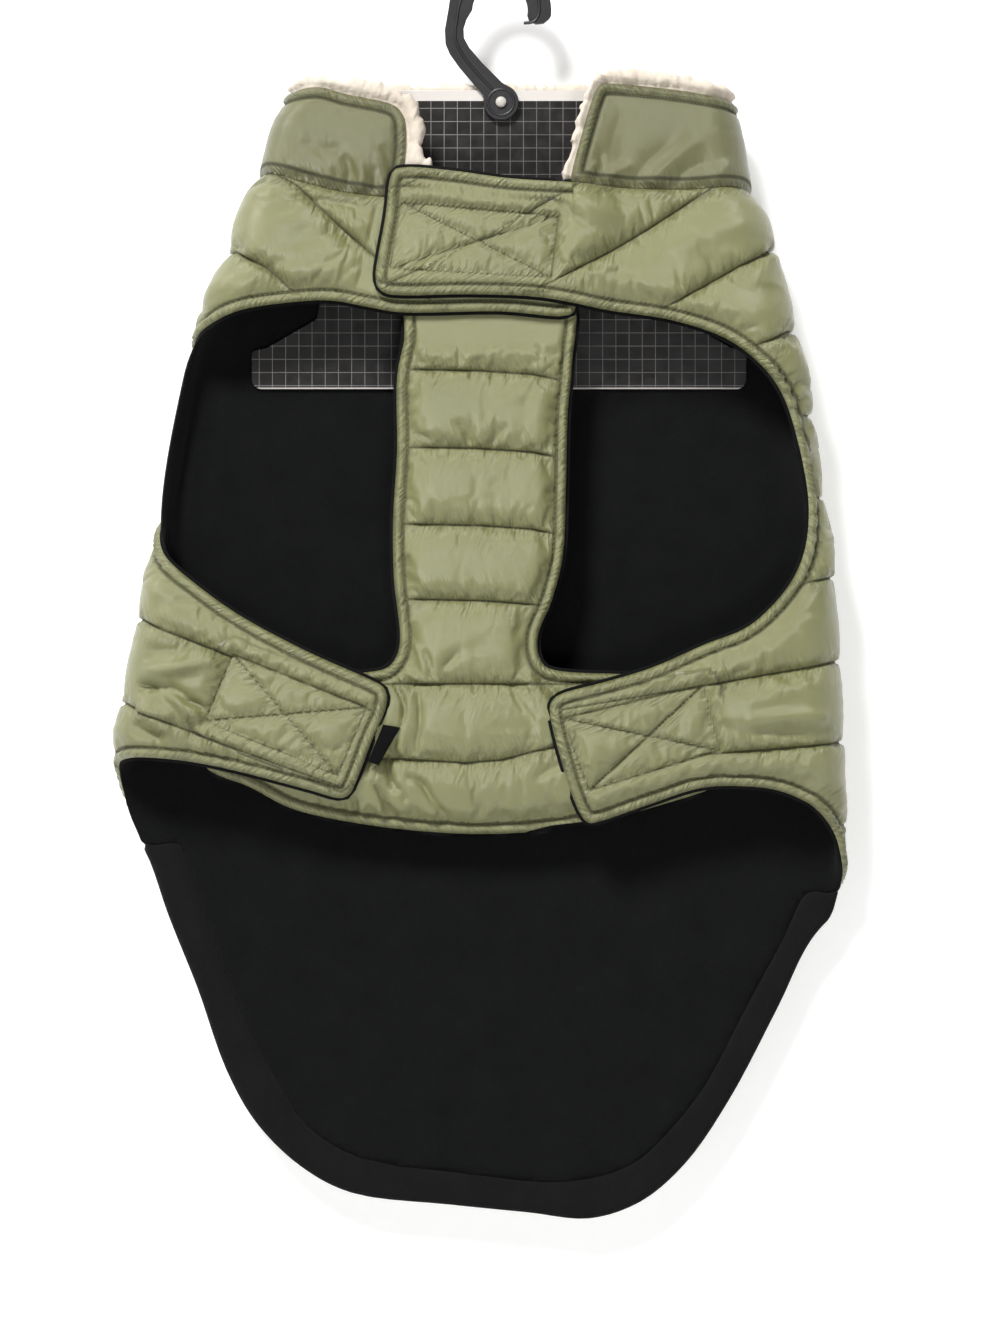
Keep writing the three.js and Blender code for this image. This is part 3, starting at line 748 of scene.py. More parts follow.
def nap_group():
    """Brushed nap: short tufts lying a little one way."""
    group, start, end = new_group(
        "brushed_nap",
        [("Scale", "NodeSocketFloat", 900.0)],
        [("Height", "NodeSocketFloat"), ("Tint", "NodeSocketFloat")],
    )
    n = Nodes(group)
    spot = n.add("ShaderNodeTexCoord").outputs["Object"]
    lean = n.add("ShaderNodeMapping", Vector=spot, Scale=(1.0, 1.0, 0.55)).outputs["Vector"]
    fine_scale = start.outputs["Scale"]
    tufts = n.add("ShaderNodeTexNoise", Vector=lean, Scale=fine_scale, Detail=5.0, Roughness=0.7)
    broad_scale = n.math("MULTIPLY", fine_scale, 0.06)
    broad = n.add("ShaderNodeTexNoise", Vector=spot, Scale=broad_scale, Detail=3.0)
    height = n.math("ADD", tufts.outputs["Fac"], n.math("MULTIPLY", broad.outputs["Fac"], 0.6))
    n.put(end.inputs["Height"], height)
    n.put(end.inputs["Tint"], broad.outputs["Fac"])
    return group


def gather_group():
    """Fine gathers in millimetres: across the quilting seams, and slanting over the rolled edges. Also
    masks for painted shade: in the gather troughs, and in the sunk seam channels.
    """
    group, start, end = new_group(
        "sewn_gathers",
        [("Seam height", "NodeSocketFloat", 0.6), ("Edge height", "NodeSocketFloat", 0.35)],
        [("Height", "NodeSocketFloat"), ("Sunk", "NodeSocketFloat"), ("Fold shade", "NodeSocketFloat")],
    )
    n = Nodes(group)

    def kept(name):
        vector = n.add("ShaderNodeAttribute", {"attribute_name": name}).outputs["Vector"]
        return [n.add("ShaderNodeSeparateXYZ", Vector=vector).outputs[axis] for axis in "XYZ"]

    def valleys(across, low, pitch, slow):
        """Noise that is 0 along its folds, pitch apart across them and slow along them."""
        spot = n.add("ShaderNodeCombineXYZ")
        n.put(spot.inputs[0], n.math("DIVIDE", across, pitch))
        n.put(spot.inputs[1], n.math("DIVIDE", low, slow))
        wave = n.add("ShaderNodeTexNoise", Vector=spot.outputs[0], Scale=1.0, Detail=2.0, Distortion=0.25)
        return n.math("ABSOLUTE", n.math("SUBTRACT", wave.outputs["Fac"], 0.5))

    seam_run, seam_gap, seam_row = kept("seam")
    edge_run, edge_depth, on_neck = kept("edge")
    lean = n.math("ADD", seam_run, n.math("MULTIPLY", seam_gap, 0.3))
    short = n.math("POWER", 2.718, n.math("MULTIPLY", seam_gap, -0.27))
    longer = n.math("POWER", 2.718, n.math("MULTIPLY", seam_gap, -0.15))
    thin = valleys(lean, seam_row, 2.3, 9.0)
    fine = n.math("MULTIPLY", n.math("SUBTRACT", thin, 0.1), short)
    broad = n.math("MULTIPLY", n.math("SUBTRACT", 0.22, valleys(lean, seam_row, 5.2, 19.0)), longer)
    both = n.math("ADD", fine, n.math("MULTIPLY", broad, 2.4))
    on_seam = n.math("MULTIPLY", both, start.outputs["Seam height"])
    slant = n.math("ADD", edge_run, n.math("MULTIPLY", edge_depth, 0.85))
    bunched = n.ramp(valleys(edge_run, on_neck, 26.0, 1.0), (0.02, 0.16, 1.0, 0.3))
    rim = n.math("MULTIPLY", n.ramp(edge_depth, (4.6, 7.2, 1.0, 0.0)), bunched)
    ribbed = valleys(slant, edge_depth, 3.6, 16.0)
    ribs = n.math("MULTIPLY", n.math("SUBTRACT", ribbed, 0.1), rim)
    high = n.math("ADD", on_seam, n.math("MULTIPLY", ribs, start.outputs["Edge height"]))
    n.put(end.inputs["Height"], high)

    # Painted shade mask: the thin troughs of the gathers and ribs, and wherever the height falls below
    # zero.
    tucks = n.math("MULTIPLY", n.ramp(thin, (0.008, 0.06, 1.0, 0.0)), short)
    creases = n.math("MULTIPLY", n.ramp(ribbed, (0.008, 0.06, 1.0, 0.0)), rim)
    folds = n.math("MAXIMUM", tucks, creases)
    n.put(end.inputs["Fold shade"], n.math("MAXIMUM", folds, n.ramp(high, (-0.45, 0.0, 1.0, 0.0))))

    # Painted shade mask, also used to dull the shine: the quilting seam lines and the topstitch channel.
    inwards = n.math("ADD", edge_depth, n.math("MULTIPLY", on_neck, 6.0))
    within = n.ramp(inwards, (4.6, TOPSTITCH, 0.0, 1.0))
    line = n.math("MULTIPLY", n.ramp(seam_gap, (0.2, 0.95, 1.0, 0.0)), within)
    away = n.math("ABSOLUTE", n.math("SUBTRACT", edge_depth, TOPSTITCH))
    free = n.ramp(on_neck, (0.2, 0.6, 0.95, 0.0))
    top = n.math("MULTIPLY", n.ramp(away, (0.5, 1.5, 1.0, 0.0)), free)
    n.put(end.inputs["Sunk"], n.math("MAXIMUM", line, top))
    return group


HANDLED = cloud_group()
GATHERS = gather_group()
WEAVE = weave_group()
NAP = nap_group()


def new_material(name, **values):
    material = bpy.data.materials.new(name)
    material.use_nodes = True
    shader = material.node_tree.nodes["Principled BSDF"]
    for key, value in values.items():
        shader.inputs[key.replace("_", " ")].default_value = value
    return material, Nodes(material.node_tree), shader


def placed(n, group, **values):
    """A node group placed in a material, with that material's own values."""
    node = n.add("ShaderNodeGroup", {"node_tree": group})
    for key, value in values.items():
        n.put(node.inputs[key.replace("_", " ")], value)
    return node


def bumped(n, shader, height, strength, distance):
    bump = n.add("ShaderNodeBump", Height=height)
    bump.inputs["Strength"].default_value = strength
    bump.inputs["Distance"].default_value = distance
    n.put(shader.inputs["Normal"], bump.outputs["Normal"])


def nylon(name, deep, light):
    """Satin nylon over padding: plain weave, gathers at its seams, and painted shade in its seam channels
    and gather troughs.
    """
    material, n, shader = new_material(name, IOR=1.5, Sheen_Weight=0.1, Sheen_Roughness=0.4)
    shader.inputs["Specular IOR Level"].default_value = 0.75
    handled = placed(n, HANDLED, Scale=22.0)
    weave = placed(n, WEAVE, Spacing_mm=0.34)
    gathers = placed(n, GATHERS, Seam_height=1.7, Edge_height=2.8)
    cloth = n.blend(handled.outputs["Mask"], deep, light)
    # Painted shade: the cloth colour is darkened in the sunk seam channels and in the troughs of the fine
    # gathers.
    shade_colour = (deep[0] * 0.2, deep[1] * 0.2, deep[2] * 0.17, 1)
    folded = n.math("MULTIPLY", gathers.outputs["Fold shade"], 0.5)
    shade = n.math("MAXIMUM", n.math("MULTIPLY", gathers.outputs["Sunk"], 0.85), folded)
    n.put(shader.inputs["Base Color"], n.blend(shade, cloth, shade_colour))
    rough = n.math("ADD", 0.27, n.math("MULTIPLY", handled.outputs["Fine"], 0.12))
    dull = n.math("MULTIPLY", gathers.outputs["Sunk"], 0.6)
    n.put(shader.inputs["Roughness"], n.math("MINIMUM", n.math("ADD", rough, dull), 0.95))
    small = n.math("MULTIPLY", n.math("ADD", weave.outputs["Height"], handled.outputs["Fine"]), 0.035)
    bumped(n, shader, n.math("ADD", small, gathers.outputs["Height"]), 1.0, 0.001)
    return material


def fleece(name, deep, light, scale, sheen):
    """Brushed cloth or pile: its deep and light colours, its tufts and its soft sheen."""
    material, n, shader = new_material(name, Roughness=0.95, IOR=1.4, Sheen_Weight=sheen)
    shader.inputs["Sheen Roughness"].default_value = 0.6
    shader.inputs["Specular IOR Level"].default_value = 0.08
    shader.inputs["Sheen Tint"].default_value = (0.5, 0.5, 0.5, 1)
    nap = placed(n, NAP, Scale=scale)
    n.put(shader.inputs["Base Color"], n.blend(nap.outputs["Tint"], deep, light))
    bumped(n, shader, nap.outputs["Height"], 0.8, 0.0008)
    return material


OLIVE = nylon("olive_nylon", (0.174, 0.177, 0.073, 1), (0.230, 0.233, 0.098, 1))
# The collar is the same nylon in darker colours: painted shade on the collar.
SHADED_OLIVE_COLLAR = nylon("shaded_olive_collar_nylon", (0.124, 0.124, 0.052, 1), (0.162, 0.161, 0.068, 1))
BLACK_FLEECE = fleece(
    "black_fleece", (0.0035, 0.0037, 0.0037, 1), (0.007, 0.0073, 0.0073, 1), 900.0, 0.05
)
FACING_FLEECE = fleece(
    "black_facing_fleece", (0.005, 0.005, 0.0053, 1), (0.009, 0.009, 0.0095, 1), 700.0, 0.07
)
SHERPA = fleece("cream_sherpa", (0.56, 0.48, 0.39, 1), (0.80, 0.73, 0.63, 1), 500.0, 0.3)


def thread_material():
    material, n, shader = new_material("olive_thread", Roughness=0.8, IOR=1.45)
    shader.inputs["Specular IOR Level"].default_value = 0.15
    weave = placed(n, WEAVE, Spacing_mm=0.5)
    shade = n.ramp(weave.outputs["Height"], (-1.0, 1.0, 0.0, 1.0))
    n.put(shader.inputs["Base Color"], n.blend(shade, (0.085, 0.087, 0.036, 1), (0.21, 0.21, 0.095, 1)))
    return material


THREAD = thread_material()


def card_material():
    """Black card with a faint pale grid, a pale band at its top and a painted highlight along its foot.
    """
    material, n, shader = new_material("gridded_card", IOR=1.5)
    place = n.add("ShaderNodeTexCoord")
    axes = n.add("ShaderNodeSeparateXYZ", Vector=place.outputs["Object"])

    def lines(axis, offset):
        run = n.math("FRACT", n.math("DIVIDE", n.math("ADD", axes.outputs[axis], offset), 0.0067))
        return n.math("LESS_THAN", run, 0.05)

    grid = n.math("MAXIMUM", lines("X", 1.0), lines("Z", 1.0013))
    handled = placed(n, HANDLED, Scale=14.0)
    faint = n.math("MULTIPLY", grid, n.ramp(handled.outputs["Mask"], (0.3, 0.7, 0.08, 0.34)))
    top = n.math("GREATER_THAN", axes.outputs["Z"], -0.0594)
    # Painted highlight: a pale line along the card's bottom edge.
    below = n.math("LESS_THAN", axes.outputs["Z"], -0.2048)
    pale = n.math("MAXIMUM", n.math("MULTIPLY", top, 0.9), n.math("MULTIPLY", below, 0.7))
    share = n.math("MAXIMUM", faint, pale)
    ground = n.blend(handled.outputs["Mask"], (0.006, 0.006, 0.006, 1), (0.016, 0.014, 0.013, 1))
    n.put(shader.inputs["Base Color"], n.blend(share, ground, (0.72, 0.68, 0.64, 1)))
    rough = n.ramp(handled.outputs["Fine"], (0.3, 0.7, 0.28, 0.42))
    n.put(shader.inputs["Roughness"], rough)
    bumped(n, shader, handled.outputs["Fine"], 0.1, 0.0002)
    return material


def plastic(name, deep, light, rough):
    material, n, shader = new_material(name, IOR=1.48)
    handled = placed(n, HANDLED, Scale=60.0)
    n.put(shader.inputs["Base Color"], n.blend(handled.outputs["Mask"], deep, light))
    n.put(shader.inputs["Roughness"], n.ramp(handled.outputs["Fine"], (0.3, 0.7, rough, rough + 0.12)))
    bumped(n, shader, handled.outputs["Fine"], 0.25, 0.0002)
    return material


CARD = card_material()
HOOK = plastic("black_hook_plastic", (0.012, 0.012, 0.013, 1), (0.03, 0.03, 0.032, 1), 0.34)
RIVET = plastic("rivet_plastic", (0.42, 0.40, 0.36, 1), (0.62, 0.58, 0.52, 1), 0.3)


def label_material():
    material, n, shader = new_material("blank_label_tape", Roughness=0.85)
    shader.inputs["Specular IOR Level"].default_value = 0.06
    weave = placed(n, WEAVE, Spacing_mm=0.55)
    shade = n.ramp(weave.outputs["Height"], (-1.0, 1.0, 0.0, 1.0))
    n.put(shader.inputs["Base Color"], n.blend(shade, (0.002, 0.002, 0.002, 1), (0.009, 0.009, 0.009, 1)))
    bumped(n, shader, weave.outputs["Height"], 0.5, 0.0002)
    return material


LABEL_TAPE = label_material()

# How much wider the nylon is cut than its lining, the push of the padding, the frames it has,
# and a copy's scale, since the solver works best on metres of cloth.
SWELL_GROWTH = 0.07
SWELL_PRESS = 3.0
SWELL_FRAMES = 16
SWELL_SCALE = 10.0


def let_swell(piece, held, cap, calm):
    """The padding fills the cloth out between its seams: cloth simulation, its result kept.

    No point moves more than cap, and less where calm is above 0.
    """
    scene = bpy.context.scene
    mesh = piece.data
    start = np.empty(len(mesh.vertices) * 3)
    mesh.vertices.foreach_get("co", start)
    start = start.reshape(-1, 3)
    copy = bpy.data.objects.new("swelling", mesh.copy())
    scene.collection.objects.link(copy)
    copy.data.vertices.foreach_set("co", (start * SWELL_SCALE).ravel())
    group = copy.vertex_groups.new(name="held")
    group.add(np.flatnonzero(held).tolist(), 1.0, "REPLACE")
    cloth = copy.modifiers.new("padding", "CLOTH")
    settings = cloth.settings
    settings.quality = 5
    settings.mass = 0.25
    settings.tension_stiffness = 20
    settings.compression_stiffness = 20
    settings.shear_stiffness = 8
    settings.bending_stiffness = 0.02
    settings.tension_damping = 12
    settings.compression_damping = 12
    settings.shear_damping = 8
    settings.air_damping = 2
    settings.vertex_group_mass = "held"
    settings.shrink_min = -SWELL_GROWTH
    settings.shrink_max = -SWELL_GROWTH
    settings.use_pressure = True
    settings.uniform_pressure_force = SWELL_PRESS
    settings.effector_weights.gravity = 0
    cloth.collision_settings.use_collision = False
    cloth.point_cache.frame_start = 1
    cloth.point_cache.frame_end = SWELL_FRAMES
    for number in range(1, SWELL_FRAMES + 1):
        scene.frame_set(number)
    shape = copy.evaluated_get(bpy.context.evaluated_depsgraph_get()).to_mesh()
    end = np.empty(len(mesh.vertices) * 3)
    shape.vertices.foreach_get("co", end)
    end = end.reshape(-1, 3) / SWELL_SCALE
    bpy.data.objects.remove(copy)
    scene.frame_set(1)
    moved = end - start
    far = np.linalg.norm(moved, axis=1, keepdims=True)
    limit = cap * MM * (1 - 0.7 * calm[:, None])
    moved = moved * limit * np.tanh(far / limit) / np.maximum(far, 1e-9)
    mesh.vertices.foreach_set("co", (start + moved).ravel())
    mesh.update()


# The body shell.
QUILT_LINES = np.array(QUILTING, float)


def quilt_drop(u, row):
    """How far a quilting line lies below its row: level behind, falling across the sides."""
    tilt = -10.5 * (1 - np.clip(u, -180, 180) / 180) * clamp((-130 - row) / 170)
    past = np.maximum(0, np.abs(u) - 190)
    low = clamp((-150 - row) / 150)
    left = 0.55 - 0.17 * low
    right = 0.42 - 0.24 * low - 0.14 * clamp((-344 - row) / 60)
    lift = 5 * (1 - low) * clamp((-185 - u) / 30)
    return tilt + lift - past * np.where(u < 0, left, right)


def quilt_row(u, z):
    """The row that a point belongs to, the inverse of quilt_drop."""
    row = np.array(z, float)
    for _ in range(6):
        row = z - quilt_drop(u, row)
    return row


SHELL_RUNS = np.concatenate([
    front_run(-1, NECK_LEFT),
    front_run(-1, UNDERLAP),
    [(-176, -184), (-166, -192), (-160, -202), (-160, -258), (-166, -268), (-176, -275)],
    front_run(-1, LEFT_FLAP),
    [(-180, -397)],
    back_run(TAIL),
    [(180, -448)],
    front_run(1, RIGHT_FLAP),
    front_run(1, RIGHT_ARMHOLE),
    front_run(1, TAB),
    front_run(1, NECK_RIGHT),
    NECK_BACK,
])
STEPS = 5
SHELL_CUT = Cut(SHELL_RUNS, STEPS)
NECK_SEGMENTS = set(range(0, len(NECK_LEFT) * STEPS - 2)) | set(
    range((len(SHELL_RUNS) - len(NECK_RIGHT) - len(NECK_BACK)) * STEPS, len(SHELL_RUNS) * STEPS)
)


def line_gap(row, lines):
    """Distance to the nearest quilting line, which one, and the side it lies on."""
    gaps = np.abs(row[..., None] - lines)
    index = gaps.argmin(-1)
    gap = np.take_along_axis(gaps, index[..., None], -1)[..., 0]
    side = np.sign(row - lines[index])
    return gap, index, side


def box_gap(corners, x, z):
    """Signed distance to a sewn box, and distance to the nearest of its seams and diagonals."""
    corners = np.array(corners, float)
    inside, _, _ = nearest(corners, x, z)
    seams = np.abs(inside)
    for a, b in ((corners[0], corners[2]), (corners[1], corners[3])):
        ex, ez = b - a
        t = clamp(((x - a[0]) * ex + (z - a[1]) * ez) / (ex * ex + ez * ez))
        seams = np.minimum(seams, np.hypot(x - a[0] - t * ex, z - a[1] - t * ez))
    return inside, seams


def pucker(along, gap, seed, spacing, reach):
    """Short gathers that cross a seam and die away from it."""
    lean = along + 0.35 * gap * np.sin(seed * 1.7)
    wave = ridged(lean / spacing, seed + gap / 30, seed * 0.37)
    wave = wave + 0.5 * ridged(lean / (spacing * 0.52), seed * 1.3, gap / 16)
    uneven = 0.55 + 0.45 * noise(along / 34, seed * 2.1, 0.5)
    return wave * uneven * np.exp(-((gap / reach) ** 1.4))


def rolled(d):
    """Thickness from a free edge inwards: a roll, then the topstitch channel."""
    roll = 3.0 * np.sqrt(clamp(1 - ((np.minimum(d, 2.5) - 2.5) / 2.5) ** 2))
    return roll - 0.8 * smooth((d - 2.8) / 1.6) - 1.8 * np.exp(-(((d - TOPSTITCH) / 0.9) ** 2))


def beside_fold(x):
    """0 on the flat of the coat, 1 round its folds, where the outline is seen."""
    return clamp((np.abs(x - 5) - 132) / 36)


def nylon_height(x, z, row, lines, d, along, neck, limit, creases, seed):
    """How far padded nylon stands out from its seam plane.

    row is the height before the quilting's slant, d the signed distance to the outline, along the
    length round it, neck where the edge is sewn into the neck, limit the padding's depth.
    """
    depth = np.maximum(0, -d)
    gap, index, side = line_gap(row, lines)
    pitch = 20.5
    aside = beside_fold(x)
    swell = 0.42 * (1 - np.exp(-gap / 2.0)) + 0.58 * np.sin(math.pi / 2 * clamp(gap / pitch))
    swell = swell * (1 - 0.62 * aside) + 0.24 * aside
    inner = np.maximum(0, depth - TOPSTITCH - 0.3)
    free = 0.35 * (1 - np.exp(-inner / 1.8)) + 0.65 * smooth(inner / 11)
    edge = np.where(neck, 0.4 * (1 - np.exp(-depth / 1.8)) + 0.6 * smooth(depth / 10), free)
    base = np.where(neck, 0.9 + 0.9 * smooth(depth / 3), rolled(depth))
    uneven = 1 + 0.2 * noise(x / 34, z / 26, seed)
    sunk = 0.9 * edge * np.exp(-((gap / 0.9) ** 2))
    height = base + limit * swell * edge * uneven - sunk
    seam = pucker(x, gap, index * 3.1 + side * 1.7 + seed, 7.0, 9.0)
    height = height + 0.85 * seam * clamp(gap / 1.2) * edge * clamp(limit / 3)
    beside = np.abs(depth - TOPSTITCH)
    hem = pucker(along, beside, seed + 4.3, 5.2, 7.0) * clamp(beside / 1.0)
    drawn_in = np.where(neck, 0.7 * pucker(along, depth, seed + 2.2, 6.4, 9.0), 0.5 * hem)
    height = height + drawn_in * clamp(depth / 1.2)
    body = smooth((depth - 6) / 10) * clamp(limit / 4) * (1 - 0.4 * aside)
    height = height + body * 0.9 * noise(x / 21, z / 15, seed + 2.5)
    height = height + body * 0.45 * ridged(x / 11 + 0.4 * noise(x / 9, z / 9, 7), z / 8, seed + 5.5)
    height = height + crease_height(creases, x, z) * smooth((depth - 2) / 6)
    return height


def tape_box(name, u, across, z):
    """Where the box's own front lies, and there the distances that box_gap gives."""
    hand = -1 if name == "left" else 1
    inside, seams = box_gap(TAPE_BOXES[name], across, z)
    return hand * u > ON_FRONT, inside, seams


def shell_height(u, z, row, d, along, segment):
    neck = np.isin(segment, list(NECK_SEGMENTS))
    x = coat_across(u, z)
    under = smooth((-262 - u) / 20) * smooth((z + 220) / 20)
    tab = smooth((u - 322) / 30) * smooth((z + 205) / 10)
    limit = COAT_PADDING * (1 - 0.8 * under) * (1 - 0.35 * tab)
    before = np.where(np.abs(u) > ON_FRONT, x, NOWHERE)
    behind = np.where(np.abs(u) > ON_FRONT, NOWHERE, x)
    height = nylon_height(x, z, row, QUILT_LINES, d, along, neck, limit, [], 1.0)
    height = height + crease_height(COAT_CREASES, before, z) * smooth((-d - 2) / 6) * (1 - under)
    between = clamp(line_gap(row, QUILT_LINES)[0] / 3) * smooth((-d - 6) / 6)
    height = height + crease_height(BACK_CREASES, behind, z) * between
    for name in TAPE_BOXES:
        here, inside, seams = tape_box(name, u, before, z)
        press = np.where(here, smooth((6 - inside) / 8), 0)
        pillow = 1.6 * (1 - np.exp(-np.maximum(0, seams - 0.4) / 2.6)) + 0.35 * noise(x / 15, z / 13, 3.3)
        flat = 1.6 + pillow + 0.22 * pucker(0.8 * x - 0.8 * z, seams, 8.8, 6.5, 6.0) * clamp(seams / 1.2)
        dent = 1.35 * np.exp(-((seams / 0.9) ** 2))
        height = height * (1 - press) + press * (flat - dent)
    return np.where(under > 0.5, np.minimum(height, 3.2), height)


def shell_surface(u, z, row=None, lift=0.0):
    d, along, segment = SHELL_CUT.away(u, z)
    if row is None:
        row = quilt_row(u, z)
    return on_coat(u, z, shell_height(u, z, row, d, along, segment) + lift)


def coat_columns(spacing, low=-440, high=450):
    return np.arange(low, high + spacing, spacing, dtype=float)


def keep_shell_sewn(piece, u, z, row, d, along, neck, gap, across, every):
    """Keeps how far each point is from its seams. Inside a box its own seams count, not the quilting."""
    sewn_along = across.copy()
    for name, corners in TAPE_BOXES.items():
        here, inside, seams = tape_box(name, u, across, z)
        here &= inside < 8
        calm = np.where(seams > 1.1, 1.1 + (seams - 1.1) * 2.6, seams)
        both = np.minimum(np.where(inside < 0, 1.1 + np.maximum(0, gap - 1.1) * 2.6, gap), calm)
        gap = np.where(here, both if name == "tab" else np.where(inside < 0, calm, both), gap)
        middle = np.mean(corners, axis=0)
        slant = middle[0] + 0.8 * (across - middle[0]) - 0.8 * (z - middle[1])
        sewn_along = np.where(here, slant, sewn_along)
    keep_sewn(piece, "seam", sewn_along[every], gap[every], row[every])
    keep_sewn(piece, "edge", along[every], -d[every], np.where(neck, 1.0, 0.0)[every])
    return gap


def build_shell():
    front = np.arange(206, 452, 1.4)
    columns = np.concatenate([-front[::-1], np.linspace(-206, 206, 151)[1:-1], front])
    rows = sewn_rows(QUILTING, 0.8, 1.85)
    place = lambda u, row: (u, row + quilt_drop(u, row))
    u, z, row, faces = cut_grid(columns, rows, place, lambda a, b: SHELL_CUT.away(a, b)[0])
    d, along, segment = SHELL_CUT.away(u, z)
    points = on_coat(u, z, shell_height(u, z, row, d, along, segment))
    base = on_coat(u, z, np.zeros(len(u)))
    faces = facing_out(points, faces, points + (points - base) + 1e-6)
    edges = rim_edges(faces)
    rim = sorted({corner for edge in edges for corner in edge})
    slot = {corner: len(points) + i for i, corner in enumerate(rim)}
    tucked = on_coat(u[rim], z[rim], np.zeros(len(rim)) - 0.15)
    faces = faces + [[b, a, slot[a], slot[b]] for a, b in edges]
    piece = make_mesh("quilted_shell", np.concatenate([points, tucked]), faces, OLIVE)
    across = coat_across(u, z)
    neck = np.isin(segment, list(NECK_SEGMENTS))
    every = np.concatenate([np.arange(len(u)), rim])
    gap = line_gap(row, QUILT_LINES)[0]
    gap = keep_shell_sewn(piece, u, z, row, d, along, neck, gap, across, every)
    held = (gap < 0.9) | (-d < np.where(neck, 0.9, TOPSTITCH + 0.9)) | ((u < -262) & (z > -215))
    for name in TAPE_BOXES:
        here, inside, seams = tape_box(name, u, across, z)
        held |= here & (inside < 1.5) & (seams < 1.3)
    held = np.concatenate([held, np.ones(len(rim), bool)])
    let_swell(piece, held, 2.6, beside_fold(across)[every])
    return piece


shell = build_shell()
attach(shell, "root")
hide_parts("body_shell")

# Linings.
FACING_CUT = Cut(
    np.concatenate([[(-215, -437)], back_run(FACING_SEAM), [(215, -461.5), (215, -690), (-215, -690)]]), 3
)
LINING_RUNS = SHELL_RUNS.copy()
LINING_RUNS[np.isin(SHELL_RUNS[:, 0], (-160, -166, -176)), 0] = -181
LINING_CUT = Cut(LINING_RUNS, STEPS)


def neck_keep(u, z, d):
    """Ends the lining at the neck seam, and nowhere else."""
    on_neck = (u > -320) & (u < 322) & (z > -125)
    return np.where(on_neck, d + 0.2, -50.0)


def lining_away(u, z):
    d = LINING_CUT.away(u, z)[0]
    own = SHELL_CUT.away(u, z)[0]
    return np.maximum.reduce([d - LIP, -0.5 - FACING_CUT.away(u, z)[0], neck_keep(u, z, own)])


def upright(u, z):
    """A grid's columns and rows as they are."""
    return u, z


def soft_layer(name, columns, rows, away, top, thick, material, swell=None):
    """A closed layer of cloth with a rounded edge, its outer side at top, its inner side below."""
    u, z, _, faces = cut_grid(columns, rows, upright, away)
    depth = np.maximum(0, -away(u, z))
    round_off = np.sqrt(clamp(1 - (1 - clamp(depth / (thick * 0.75))) ** 2))
    wave = swell(u, z) if swell else 0.0
    middle = top - thick * 0.45
    outer = on_coat(u, z, middle + (top - middle) * round_off)
    inner = on_coat(u, z, middle + (top - thick - middle) * round_off - 0.02 + wave * round_off)
    points, faces = two_sided(outer, inner, faces)
    return make_mesh(name, points, faces, material)


# The fleece gathers beside the left armhole.
LINING_CREASES = [
    ([(-155, -190), (-158, -215), (-162, -240), (-165, -255), (-165, -269), (-160, -297)], 1.8, 0.95),
    ([(-162, -188), (-165, -215), (-170, -240), (-174, -258), (-175, -272), (-171, -300)], 4.2, -1.4),
    ([(-148, -200), (-151, -222), (-156, -244), (-158, -262), (-157, -282), (-150, -306)], 4.4, -1.5),
]


def lining_wave(u, z):
    x = laid_out(u, z, 0)
    clear = smooth((-212 - z) / 20) * smooth((160 - np.abs(u)) / 20) + smooth((np.abs(u) - 149) / 6)
    clear = clamp(clear) * smooth((245 - np.abs(u)) / 30)
    gather = crease_height(LINING_CREASES, x, z)
    return -clear * (0.5 + 0.5 * noise(x / 60, z / 55, 4.0)) * 0.9 + clear * gather


lining = soft_layer(
    "fleece_lining", coat_columns(4.2), np.arange(-92, -612, -3.9), lining_away,
    -GAP, LINING, BLACK_FLEECE, lining_wave,
)
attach(lining, "root")
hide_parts("body_lining")


def facing_away(u, z):
    return np.maximum(SHELL_CUT.away(u, z)[0] - LIP, FACING_CUT.away(u, z)[0] + 0.1)


facing = soft_layer(
    "tail_facing_band", np.arange(-214, 215, 2.2), np.arange(-430, -632, -2.2), facing_away,
    -GAP + 0.1, LINING + 1.2, FACING_FLEECE,
)
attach(facing, "root")
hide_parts("tail_facing")

# The collar.
COLLAR_TOP = [(-180, -58), (-150, -56), (0, -55), (150, -60), (180, -63)]
SHERPA_TOP = [(-180, -52), (-150, -51), (0, -51), (150, -54), (180, -56)]


def collar_cut(left, top, right):
    neck = [front_run(1, NECK_RIGHT), NECK_BACK, front_run(-1, NECK_LEFT)]
    return Cut(np.concatenate([front_run(-1, left), top, front_run(1, right), *neck]), STEPS)


COLLAR_CUT = collar_cut(COLLAR_LEFT, COLLAR_TOP, COLLAR_RIGHT)
SHERPA_CUT = collar_cut(SHERPA_LEFT, SHERPA_TOP, SHERPA_RIGHT)


def collar_away(u, z):
    return np.maximum(COLLAR_CUT.away(u, z)[0], -0.1 - SHELL_CUT.away(u, z)[0])


def collar_height(u, z):
    d, along, _ = COLLAR_CUT.away(u, z)
    seam = SHELL_CUT.away(u, z)[0] - 0.4
    depth = np.maximum(0, np.minimum(-d, seam))
    at_seam = seam < -d
    x = coat_across(u, z)
    base = np.where(at_seam, 0.5 + 1.6 * smooth(depth / 4), rolled(depth) * 0.86)
    edge = np.where(at_seam, smooth(depth / 9), smooth((depth - 5.6) / 8))
    height = base + edge * (0.9 + 0.5 * noise(x / 26, z / 18, 6.0))
    gather = pucker(x, depth, 3.3, 6.5, 9.0)
    height = height + np.where(at_seam, 0.7 * gather * clamp(depth / 1.5), 0)
    hem = pucker(along, np.abs(depth - 5.4), 5.1, 4.2, 5.0)
    height = height + np.where(at_seam, 0, 0.24 * hem)
    before = np.where(np.abs(u) > ON_FRONT, x, NOWHERE)
    return height + crease_height(COLLAR_CREASES, before, z) * smooth((depth + 1) / 4)


